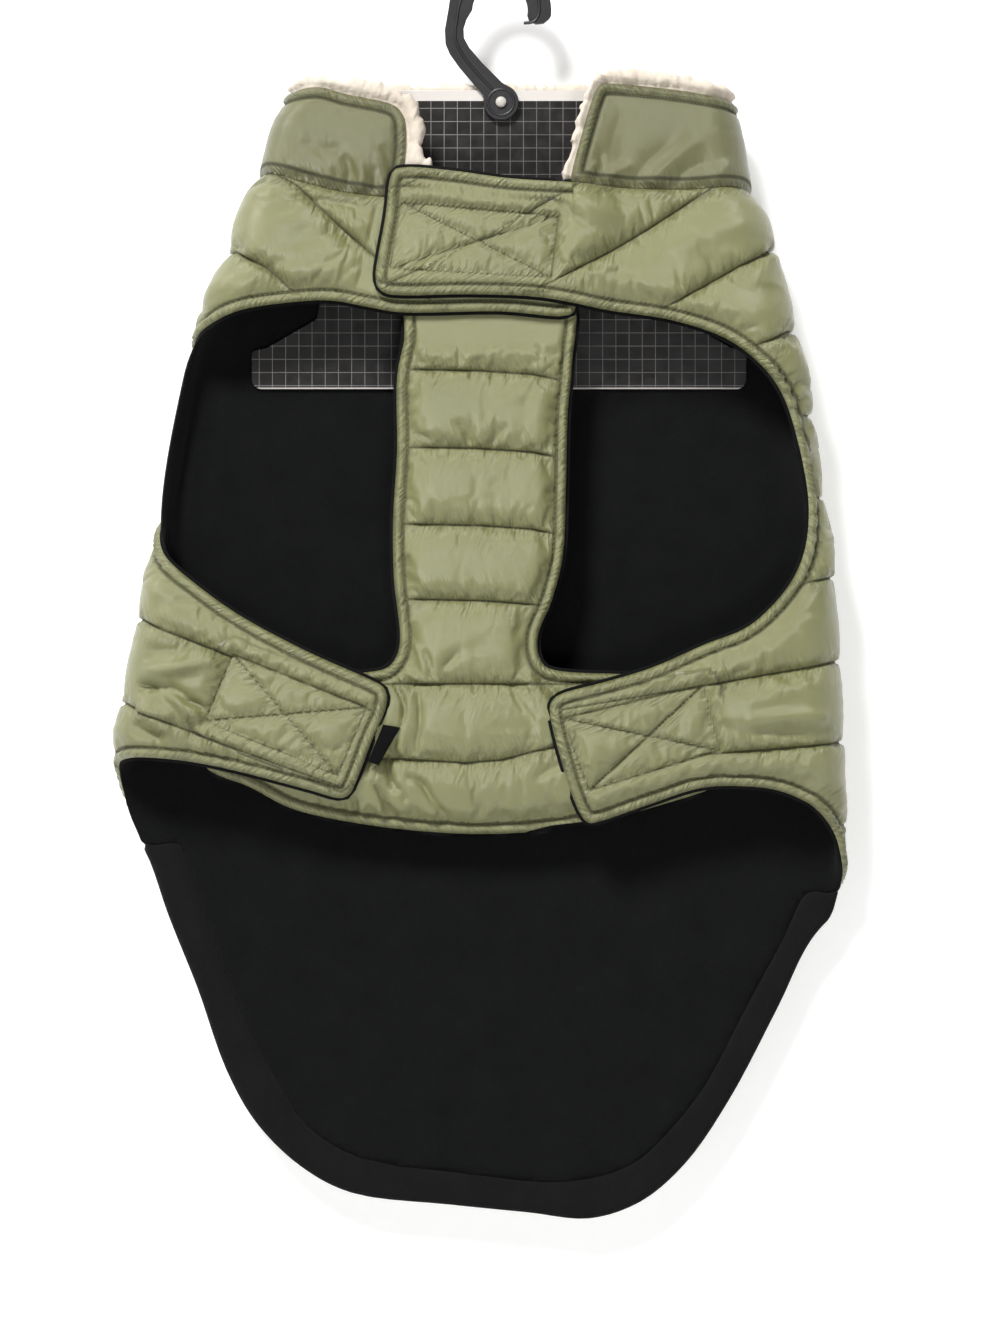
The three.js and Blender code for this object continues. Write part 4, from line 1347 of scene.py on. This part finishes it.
def build_collar():
    u, z, _, faces = cut_grid(
        coat_columns(1.7, -340, 350), np.arange(-48, -118, -1.5), upright, collar_away
    )
    points = on_coat(u, z, collar_height(u, z))
    base = on_coat(u, z, np.zeros(len(u)) - 0.15)
    points, faces = two_sided(points, base, faces)
    piece = make_mesh("collar_outer", points, faces, SHADED_OLIVE_COLLAR)
    d, along, _ = COLLAR_CUT.away(u, z)
    seam = SHELL_CUT.away(u, z)[0] - 0.4
    keep_sewn(piece, "seam", coat_across(u, z), np.maximum(0, seam), z)
    keep_sewn(piece, "edge", along, -d, np.zeros(len(u)))
    return piece


collar = build_collar()
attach(collar, "root")
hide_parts("collar_shell")


def sherpa_away(u, z):
    return np.maximum(SHERPA_CUT.away(u, z)[0], 0.4 - SHELL_CUT.away(u, z)[0])


def pile(x, y, z):
    """Curls of pile, in millimetres."""
    curls = ridged(x / 2.9, y / 2.9, z / 2.9) + 0.6 * ridged(x / 1.6, y / 1.6, z / 1.6)
    return 0.8 * curls + 0.7 * noise(x / 6, y / 6, z / 6)


def build_sherpa():
    u, z, _, faces = cut_grid(
        coat_columns(1.5, -350, 360), np.arange(-44, -118, -1.3), upright, sherpa_away
    )
    own = SHERPA_CUT.away(u, z)[0]
    depth = np.maximum(0, -np.maximum(own, 0.4 - SHELL_CUT.away(u, z)[0]))
    free = smooth((own + 5) / 4)
    flat = section(z)[1]
    x = coat_across(u, z)
    u = u + free * 1.5 * ridged(x / 5 + 3, z / 4.6, 2.0) * 150 / flat
    z = z + free * 1.7 * ridged(x / 4.8, z / 5.5, 5.0)
    past = np.maximum(0, COLLAR_CUT.away(u, z)[0])
    round_off = np.sqrt(clamp(1 - (1 - clamp(depth / 3.0)) ** 2))
    spill = 2.4 * smooth((past - 0.8) / 3.0)
    rest = on_coat(u, z, np.zeros(len(u)))
    curl = pile(rest[:, 0] + 90, rest[:, 1] + 40, rest[:, 2])
    deep = pile(rest[:, 0], rest[:, 1], rest[:, 2])
    outer = on_coat(u, z, -3.0 + round_off * (2.5 + spill) + np.where(past > 1, curl, 0) * round_off)
    inner = on_coat(u, z, -3.0 - round_off * 2.6 + np.minimum(0.5, deep * 0.9) * round_off)
    points, faces = two_sided(outer, inner, faces)
    return make_mesh("sherpa_collar_lining", points, faces, SHERPA)


sherpa = build_sherpa()
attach(sherpa, "root")
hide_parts("collar_sherpa")

# The chest and belly panel.
CHEST_CUT = FlatCut(CHEST, STEPS)
CHEST_LINES = np.array(CHEST_QUILTING, float)


def chest_bend(x, row):
    """How far the chest's quilting lines bend off level, more on the belly."""
    upper = np.interp(x, [-55, -10, 16, 30], [1.5, 0.6, -1.2, -4.0])
    lower = np.interp(x, [-50, -18, 0, 26, 60], [1.0, -1.0, 0.4, 7.0, 11.0])
    return upper * smooth((row + 350) / 30) + lower * smooth((-365 - row) / 20)


def chest_base(z):
    """The plane of the chest panel, which rises to the underlap at its top."""
    return -CHEST_DEPTH + (CHEST_DEPTH - LINING - 2 * GAP - 2.2) * smooth((z + 200) / 30)


def chest_height(x, z, row):
    d, along, _ = CHEST_CUT.away(x, z)
    limit = CHEST_PADDING * (1 - smooth((z + 186) / 26))
    nothing = np.zeros(np.shape(x), bool)
    height = nylon_height(x, z, row, CHEST_LINES, d, along, nothing, limit, CHEST_CREASES, 9.0)
    return np.minimum(height, -2.9 - chest_base(z))


def chest_row(x, z):
    """The row that a point belongs to, the inverse of chest_bend."""
    row = np.array(z, float)
    for _ in range(5):
        row = z - chest_bend(x, row)
    return row


def chest_surface(x, z, lift=0.0):
    return front_face(x, z, chest_base(z) + chest_height(x, z, chest_row(x, z)) + lift)


def build_chest():
    x, z, row, faces = cut_grid(
        np.arange(-156, 142, 1.3), sewn_rows(CHEST_QUILTING, 0.7, 1.5),
        lambda a, b: (a, b + chest_bend(a, b)), lambda a, b: CHEST_CUT.away(a, b)[0],
    )
    d, along, _ = CHEST_CUT.away(x, z)
    points = front_face(x, z, chest_base(z) + chest_height(x, z, row))
    base = front_face(x, z, chest_base(z) - 0.1)
    points, faces = two_sided(points, base, faces)
    piece = make_mesh("chest_and_belly_panel", points, faces, OLIVE)
    keep_sewn(piece, "seam", x, line_gap(row, CHEST_LINES)[0], row)
    keep_sewn(piece, "edge", along, -d, np.zeros(len(x)))
    held = (line_gap(row, CHEST_LINES)[0] < 0.9) | (-d < TOPSTITCH + 0.9) | (z > -186)
    held = np.concatenate([held, np.ones(len(x), bool)])
    let_swell(piece, held, 2.2, np.zeros(2 * len(x)))
    return piece


chest = build_chest()
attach(chest, "root")
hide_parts("chest_panel")


def build_chest_lining():
    away = lambda a, b: CHEST_CUT.away(a, b)[0] - LIP
    x, z, _, faces = cut_grid(
        np.arange(-160, 146, 3.6), np.arange(-148, -444, -3.6), upright, away
    )
    depth = np.maximum(0, -away(x, z))
    round_off = np.sqrt(clamp(1 - (1 - clamp(depth / 1.4)) ** 2))
    middle = chest_base(z) - GAP - LINING / 2
    outer = front_face(x, z, middle + (LINING / 2 - 0.02) * round_off)
    inner = front_face(x, z, middle - LINING / 2 * round_off)
    points, faces = two_sided(outer, inner, faces)
    return make_mesh("chest_fleece_lining", points, faces, BLACK_FLEECE)


chest_lining = build_chest_lining()
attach(chest_lining, "root")
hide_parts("chest_lining")


# Sewing: one thread mesh of short stitches.
def along_path(points, closed, pitch):
    """Marks along a path, pitch apart."""
    points = np.asarray(points, float)
    if closed:
        points = np.concatenate([points, points[:1]])
    steps = np.hypot(*np.diff(points, axis=0).T)
    total = np.concatenate([[0], np.cumsum(steps)])
    marks = np.arange(pitch / 2, total[-1] - pitch / 2, pitch)
    return np.stack([np.interp(marks, total, points[:, k]) for k in (0, 1)], -1)


def steps_along(marks):
    """Steps of one millimetre along a row of marks."""
    step = np.gradient(marks, axis=0)
    return step / np.maximum(np.hypot(*step.T), 1e-6)[:, None]


def inset(path, way, far, pitch, closed=False):
    """Marks along a path moved aside by far, to its one side and to its other."""
    side = np.stack([-way[:, 1], way[:, 0]], -1) / np.maximum(np.hypot(*way.T), 1e-6)[:, None]
    return [along_path(path + side * far * hand, closed, pitch) for hand in (1, -1)]


STITCH_HALF_WIDTH = 0.28
STITCH_HEIGHT = 0.3


class Sewing:
    """Collects stitches: each is a thin spindle that lies on the cloth and dips in at both ends."""

    def __init__(self):
        self.points = []
        self.faces = []

    def onto(self, piece):
        """The cloth that the next stitches rest on."""
        mesh = piece.data
        places = np.empty(len(mesh.vertices) * 3)
        mesh.vertices.foreach_get("co", places)
        places = places.reshape(-1, 3) / MM
        faces = [tuple(face.vertices) for face in mesh.polygons]
        self.cloth = BVHTree.FromPolygons(places.tolist(), faces)

    def rest(self, spot, out):
        found = self.cloth.ray_cast((spot + out * 3.6).tolist(), (-out).tolist(), 8.0)[0]
        return spot if found is None else np.array(found)

    def row(self, marks, half, surface):
        """Stitches of half-length half at the marks, on a surface of the first two numbers and a lift."""
        starts = surface(*(marks - half).T, 0.0)
        ends = surface(*(marks + half).T, 0.0)
        outward = surface(*marks.T, 5.0)
        middle = (starts + ends) / 2
        run = ends - starts
        length = np.maximum(np.linalg.norm(run, axis=1, keepdims=True), 1e-6)
        run = run / length
        out = outward - middle
        out = out / np.maximum(np.linalg.norm(out, axis=1, keepdims=True), 1e-6)
        across = np.cross(run, out)
        for i in range(len(starts)):
            if length[i, 0] > 6:
                continue
            first = len(self.points)
            self.points.append(self.rest(starts[i], out[i]) - out[i] * 0.25)
            self.points.append(self.rest(ends[i], out[i]) - out[i] * 0.25)
            for share in (0.3, 0.7):
                spot = self.rest(starts[i] + (ends[i] - starts[i]) * share, out[i])
                self.points.append(spot + across[i] * STITCH_HALF_WIDTH + out[i] * 0.02)
                self.points.append(spot + out[i] * STITCH_HEIGHT)
                self.points.append(spot - across[i] * STITCH_HALF_WIDTH + out[i] * 0.02)
            a, b = first, first + 1
            l, t, r, l2, t2, r2 = range(first + 2, first + 8)
            self.faces += [[a, l, t], [a, t, r], [b, t2, l2], [b, r2, t2]]
            self.faces += [[l, l2, t2, t], [t, t2, r2, r]]


def on_shell(u, z, lift):
    return shell_surface(u, z, lift=lift)


def sew_coat(marks, length=1.9, keep=None):
    """Stitches on the shell at marks, pairs of run and height, along the way they follow."""
    if len(marks) < 3:
        return
    step = np.gradient(marks, axis=0)
    size = np.hypot(step[:, 0] * section(marks[:, 1])[1] / BACK, step[:, 1])[:, None]
    half = step / np.maximum(size, 1e-6) * length / 2
    keep = np.ones(len(marks), bool) if keep is None else keep
    if keep.any():
        sewing.row(marks[keep], half[keep], on_shell)


def sew_quilting():
    for line in QUILTING:
        us = np.arange(-436, 446, 3.0)
        marks = np.stack([us, line + quilt_drop(us, np.full(len(us), float(line)))], -1)
        keep = SHELL_CUT.away(marks[:, 0], marks[:, 1])[0] < -TOPSTITCH - 0.5
        across = coat_across(marks[:, 0], marks[:, 1])
        for name in ("left", "right"):
            here, inside, _ = tape_box(name, marks[:, 0], across, marks[:, 1])
            keep &= ~(here & (inside < 1))
        sew_coat(marks, keep=keep)


def sew_edge(rows, hand):
    """Topstitching along a free edge on the front."""
    edge = rounded(rows, False, 5)
    for marks in inset(edge, np.gradient(edge, axis=0), TOPSTITCH, 2.6):
        runs = front_run(hand, marks)
        d = SHELL_CUT.away(runs[:, 0], runs[:, 1])[0]
        sew_coat(runs, 1.7, (d < -TOPSTITCH + 0.9) & (d > -TOPSTITCH - 2.0))


def sew_tail():
    runs = rounded(back_run(TAIL), False, 5)
    for marks in inset(runs, np.gradient(runs, axis=0), TOPSTITCH, 2.6):
        d = SHELL_CUT.away(marks[:, 0], marks[:, 1])[0]
        sew_coat(marks, 1.7, (d < -4.0) & (d > -7.6))


def sew_boxes():
    for name, corners in TAPE_BOXES.items():
        hand = -1 if name == "left" else 1
        corners = np.array(corners, float)
        for path in (corners[[0, 1, 2, 3, 0]], corners[[0, 2]], corners[[1, 3]]):
            for a, b in zip(path, path[1:]):
                sew_coat(front_run(hand, along_path(np.array([a, b]), False, 2.4)), 1.6)


def sew_chest():
    outline = CHEST_CUT.runs
    way = np.roll(outline, -1, 0) - np.roll(outline, 1, 0)
    edges = inset(outline, way, TOPSTITCH, 2.6, True)
    xs = np.arange(-150, 136, 2.8)
    lines = [
        np.stack([xs, line + chest_bend(xs, np.full(len(xs), float(line)))], -1)
        for line in CHEST_QUILTING[2:-1]
    ]
    for marks, low, high in [(m, -7.0, -4.4) for m in edges] + [(m, -1e3, -5) for m in lines]:
        d = CHEST_CUT.away(marks[:, 0], marks[:, 1])[0]
        keep = (d < high) & (d > low)
        sewing.row(marks[keep], steps_along(marks)[keep] * 0.9, chest_surface)


def on_collar(u, z, lift):
    return on_coat(u, z, collar_height(u, z) + lift)


def sew_collar():
    behind = rounded([(-205, -57), *COLLAR_TOP, (205, -62)], False, 6)
    ends = [front_run(-1, rounded(COLLAR_LEFT, False, 5)), front_run(1, rounded(COLLAR_RIGHT, False, 5))]
    for runs in (*ends, behind):
        for marks in inset(runs, np.gradient(runs, axis=0), TOPSTITCH, 2.8):
            own = COLLAR_CUT.away(marks[:, 0], marks[:, 1])[0]
            d = np.maximum(own, 1.0 - SHELL_CUT.away(marks[:, 0], marks[:, 1])[0])
            keep = (d < -3.6) & (d > -7.0)
            if keep.sum() > 2:
                sewing.row(marks[keep], steps_along(marks)[keep] * 0.95, on_collar)


sewing = Sewing()
sewing.onto(shell)
sew_quilting()
sew_edge(UNDERLAP[4:], -1)
sew_edge(LEFT_FLAP, -1)
sew_edge(RIGHT_FLAP, 1)
sew_edge(RIGHT_ARMHOLE + TAB, 1)
sew_boxes()
sew_tail()
sewing.onto(chest)
sew_chest()
sewing.onto(collar)
sew_collar()
thread = make_mesh("stitching", np.array(sewing.points), sewing.faces, THREAD)
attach(thread, "root")


# The label, the card and the hook.
def plate(name, outline, low, high, bevel, material):
    """A flat plate in the XZ plane from y low to y high, with eased edges."""
    curve = bpy.data.curves.new(name, "CURVE")
    curve.dimensions = "2D"
    curve.fill_mode = "BOTH"
    line = curve.splines.new("POLY")
    line.points.add(len(outline) - 1)
    for point, (x, z) in zip(line.points, outline):
        point.co = (x * MM, z * MM, 0, 1)
    line.use_cyclic_u = True
    curve.extrude = ((high - low) / 2 - bevel) * MM
    curve.bevel_depth = bevel * MM
    curve.bevel_resolution = 2
    curve.offset = -bevel * MM
    flat = bpy.data.objects.new(name, curve)
    bpy.context.scene.collection.objects.link(flat)
    solid = bpy.data.meshes.new_from_object(flat.evaluated_get(bpy.context.evaluated_depsgraph_get()))
    bpy.data.objects.remove(flat)
    piece = bpy.data.objects.new(name, solid)
    bpy.context.scene.collection.objects.link(piece)
    count = len(solid.vertices)
    places = np.empty(count * 3)
    solid.vertices.foreach_get("co", places)
    places = places.reshape(-1, 3)
    turned = np.stack([places[:, 0], (low + high) / 2 * MM - places[:, 2], places[:, 1]], -1)
    solid.vertices.foreach_set("co", turned.ravel())
    solid.materials.clear()
    solid.materials.append(material)
    solid.update()
    return piece


def arc(cx, cz, radius, start, end, steps):
    angles = np.radians(np.linspace(start, end, steps + 1))
    return [(cx + radius * math.cos(a), cz + radius * math.sin(a)) for a in angles]


card = plate(
    "hanger_card_plate",
    [(-68.5, -54), (67.5, -54), (92, -170), (117, -184.5)] + arc(122, -188.5, 3, 60, 0, 4)
    + arc(120, -200.5, 5, 0, -90, 6) + arc(-121, -200.5, 5, -90, -180, 6)
    + arc(-123, -188.5, 3, 180, 120, 4) + [(-118, -184.5), (-93, -170)],
    2.05, 3.65, 0.2, CARD,
)
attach(card, "root")
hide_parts("hanger_card")

HOOK_ROWS = (
    arc(0, -14, 26, 176, -6, 30) + [(24.8, -18.4), (22, -20.6), (18, -21), (14.6, -19)]
    + arc(0, -14, 14, -10, 178, 24)
    + [(-17, -18.5), (-18.4, -23), (-18.2, -28), (-15.5, -33), (-9, -40.5), (1, -50.5)]
    + arc(0.5, -60.5, 9, 70, -200, 34)
    + [(-14, -50.5), (-20.5, -43), (-25.5, -36), (-27.6, -31), (-28, -24)]
)
hook = plate("hook_moulding", HOOK_ROWS, -1.4, 1.4, 0.5, HOOK)


def hook_rib():
    """The raised rims of the hook's stem and eye."""
    stem = rounded([(12, -20.5), (17.5, -19.5), (20, -14), (17, -2), (8, 4.5), (-3, 5.6), (-13, 1),
                    (-19.5, -8), (-22, -20), (-22.4, -29), (-18, -38), (-10.5, -47), (-4, -54)], False, 5)
    ring = np.array(arc(0.5, -60.5, 6.6, 0, 352, 40))
    points = []
    faces = []
    for path, closed, radius in ((stem, False, 0.8), (ring, True, 0.7)):
        count = len(path)
        for i in range(count):
            ahead = path[(i + 1) % count] if closed or i + 1 < count else path[i]
            behind = path[i - 1] if closed or i else path[i]
            way = ahead - behind
            way = way / max(np.hypot(*way), 1e-6)
            side = np.array([-way[1], way[0]])
            for angle in range(0, 360, 60):
                across = math.cos(math.radians(angle)) * radius
                out = math.sin(math.radians(angle)) * radius * 0.6
                spot = path[i] + side * across
                points.append((spot[0], -1.4 - out, spot[1]))
        first = len(points) - count * 6
        for i in range(count if closed else count - 1):
            for k in range(6):
                a = first + i * 6 + k
                b = first + i * 6 + (k + 1) % 6
                c = first + (i + 1) % count * 6 + (k + 1) % 6
                d = first + (i + 1) % count * 6 + k
                faces.append([a, b, c, d])
    return make_mesh("hook_ribs", np.array(points), faces, HOOK)


rib = hook_rib()
for piece in (hook, rib):
    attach(piece, "root")
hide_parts("hanger_hook")


def build_rivet():
    """A domed head, turned from a profile of radius and height."""
    profile = [(0, 1.45), (0.9, 1.38), (1.7, 1.15), (2.3, 0.8), (2.7, 0.35), (2.75, 0)]
    points = [(0.5, -2.05 - profile[0][1], -60.5)]
    faces = []
    count = 36
    for radius, high in profile[1:]:
        for k in range(count):
            angle = 2 * math.pi * k / count
            across, up = radius * math.cos(angle), radius * math.sin(angle)
            points.append((0.5 + across, -2.05 - high, -60.5 + up))
    for k in range(count):
        faces.append([0, 1 + k, 1 + (k + 1) % count])
    for ring in range(len(profile) - 2):
        first = 1 + ring * count
        for k in range(count):
            a = first + k
            b = first + (k + 1) % count
            faces.append([a, a + count, b + count, b])
    faces.append([1 + (len(profile) - 2) * count + k for k in range(count)][::-1])
    return make_mesh("rivet_head", np.array(points), faces, RIVET)


rivet = build_rivet()
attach(rivet, "root")
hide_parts("hanger_rivet")


def build_label():
    """A folded black tape, blank, standing out of the left flap's end seam."""
    root_top = np.array([-58.2, -375.2])
    root_low = np.array([-65.6, -393.6])
    end_top = np.array([-49.6, -376.6])
    end_low = np.array([-60.4, -395.4])
    points = []
    faces = []
    wide, tall = 12, 22
    for face in (0, 1):
        for i in range(wide + 1):
            for j in range(tall + 1):
                s = i / wide
                t = j / tall
                top = root_top * (1 - s) + end_top * s
                low = root_low * (1 - s) + end_low * s
                spot = top * (1 - t) + low * t
                curl = 0.5 * math.sin(2.4 * s) + 0.25 * math.sin(5 * t + 1)
                points.append((spot[0], -31.5 - curl - (0.45 if face else 0), spot[1]))
    size = (wide + 1) * (tall + 1)
    for face in (0, 1):
        for i in range(wide):
            for j in range(tall):
                a = face * size + i * (tall + 1) + j
                ring = [a, a + tall + 1, a + tall + 2, a + 1]
                faces.append(ring if face else ring[::-1])
    edges = rim_edges([f for f in faces if f[0] >= size])
    faces += [[b, a, a - size, b - size] for a, b in edges]
    return make_mesh("blank_side_label", np.array(points), faces, LABEL_TAPE)


label = build_label()
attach(label, "root")
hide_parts("side_label")


# Stage, light and camera.
def stage_sheet(name, corners, pale, see_through=False):
    """A plain sheet. One that is see-through is clear from behind, and shines a little."""
    mesh = bpy.data.meshes.new(name)
    mesh.from_pydata(corners, [], [(0, 1, 2, 3)])
    piece = bpy.data.objects.new(name, mesh)
    bpy.context.scene.collection.objects.link(piece)
    material, n, shader = new_material(name + "_paint", Roughness=0.9, Base_Color=(pale, pale, pale, 1))
    shader.inputs["Specular IOR Level"].default_value = 0.0
    if see_through:
        shader.inputs["Emission Color"].default_value = (1, 1, 1, 1)
        shader.inputs["Emission Strength"].default_value = 0.36
        clear = n.add("ShaderNodeBsdfTransparent")
        side = n.add("ShaderNodeNewGeometry")
        mix = n.add("ShaderNodeMixShader")
        output = material.node_tree.nodes["Material Output"]
        n.put(mix.inputs[0], side.outputs["Backfacing"])
        n.put(mix.inputs[1], shader.outputs[0])
        n.put(mix.inputs[2], clear.outputs[0])
        n.put(output.inputs["Surface"], mix.outputs[0])
    mesh.materials.append(material)
    return piece


WALL = 0.026
FLOOR = -1.1
backdrop = stage_sheet(
    "backdrop", [(-3, WALL, FLOOR), (3, WALL, FLOOR), (3, WALL, 2.4), (-3, WALL, 2.4)], 0.86, True
)
floor = stage_sheet("floor", [(-3, -3, FLOOR), (3, -3, FLOOR), (3, 3, FLOOR), (-3, 3, FLOOR)], 0.6)


def area_light(name, place, target, size, power):
    light = bpy.data.lights.new(name, "AREA")
    light.shape = "DISK"
    light.size = size
    light.energy = power
    lamp = bpy.data.objects.new(name, light)
    bpy.context.scene.collection.objects.link(lamp)
    lamp.location = place
    way = np.array(target, float) - np.array(place, float)
    way = way / np.linalg.norm(way)
    pitch = math.acos(-way[2])
    yaw = math.atan2(way[1], way[0]) - math.pi / 2
    lamp.rotation_euler = (pitch, 0, yaw)
    return lamp


area_light("key", (-1.05, -2.2, 2.1), (0, 0, -0.36), 0.85, 150)
area_light("fill", (0.3, -2.0, -0.9), (0, 0, -0.42), 0.5, 11)

world = bpy.data.worlds.new("studio")
bpy.context.scene.world = world
world.use_nodes = True
world.node_tree.nodes["Background"].inputs["Color"].default_value = (1, 1, 1, 1)
world.node_tree.nodes["Background"].inputs["Strength"].default_value = 0.15

camera_data = bpy.data.cameras.new("camera")
camera_data.lens = 100
camera_data.sensor_width = 36
camera = bpy.data.objects.new("camera", camera_data)
bpy.context.scene.collection.objects.link(camera)
camera.location = (0, -1.876, -0.34625)
camera.rotation_euler = (math.pi / 2, 0, 0)
bpy.context.scene.camera = camera
bpy.context.scene.view_settings.view_transform = "Standard"
bpy.context.scene.view_settings.look = "None"
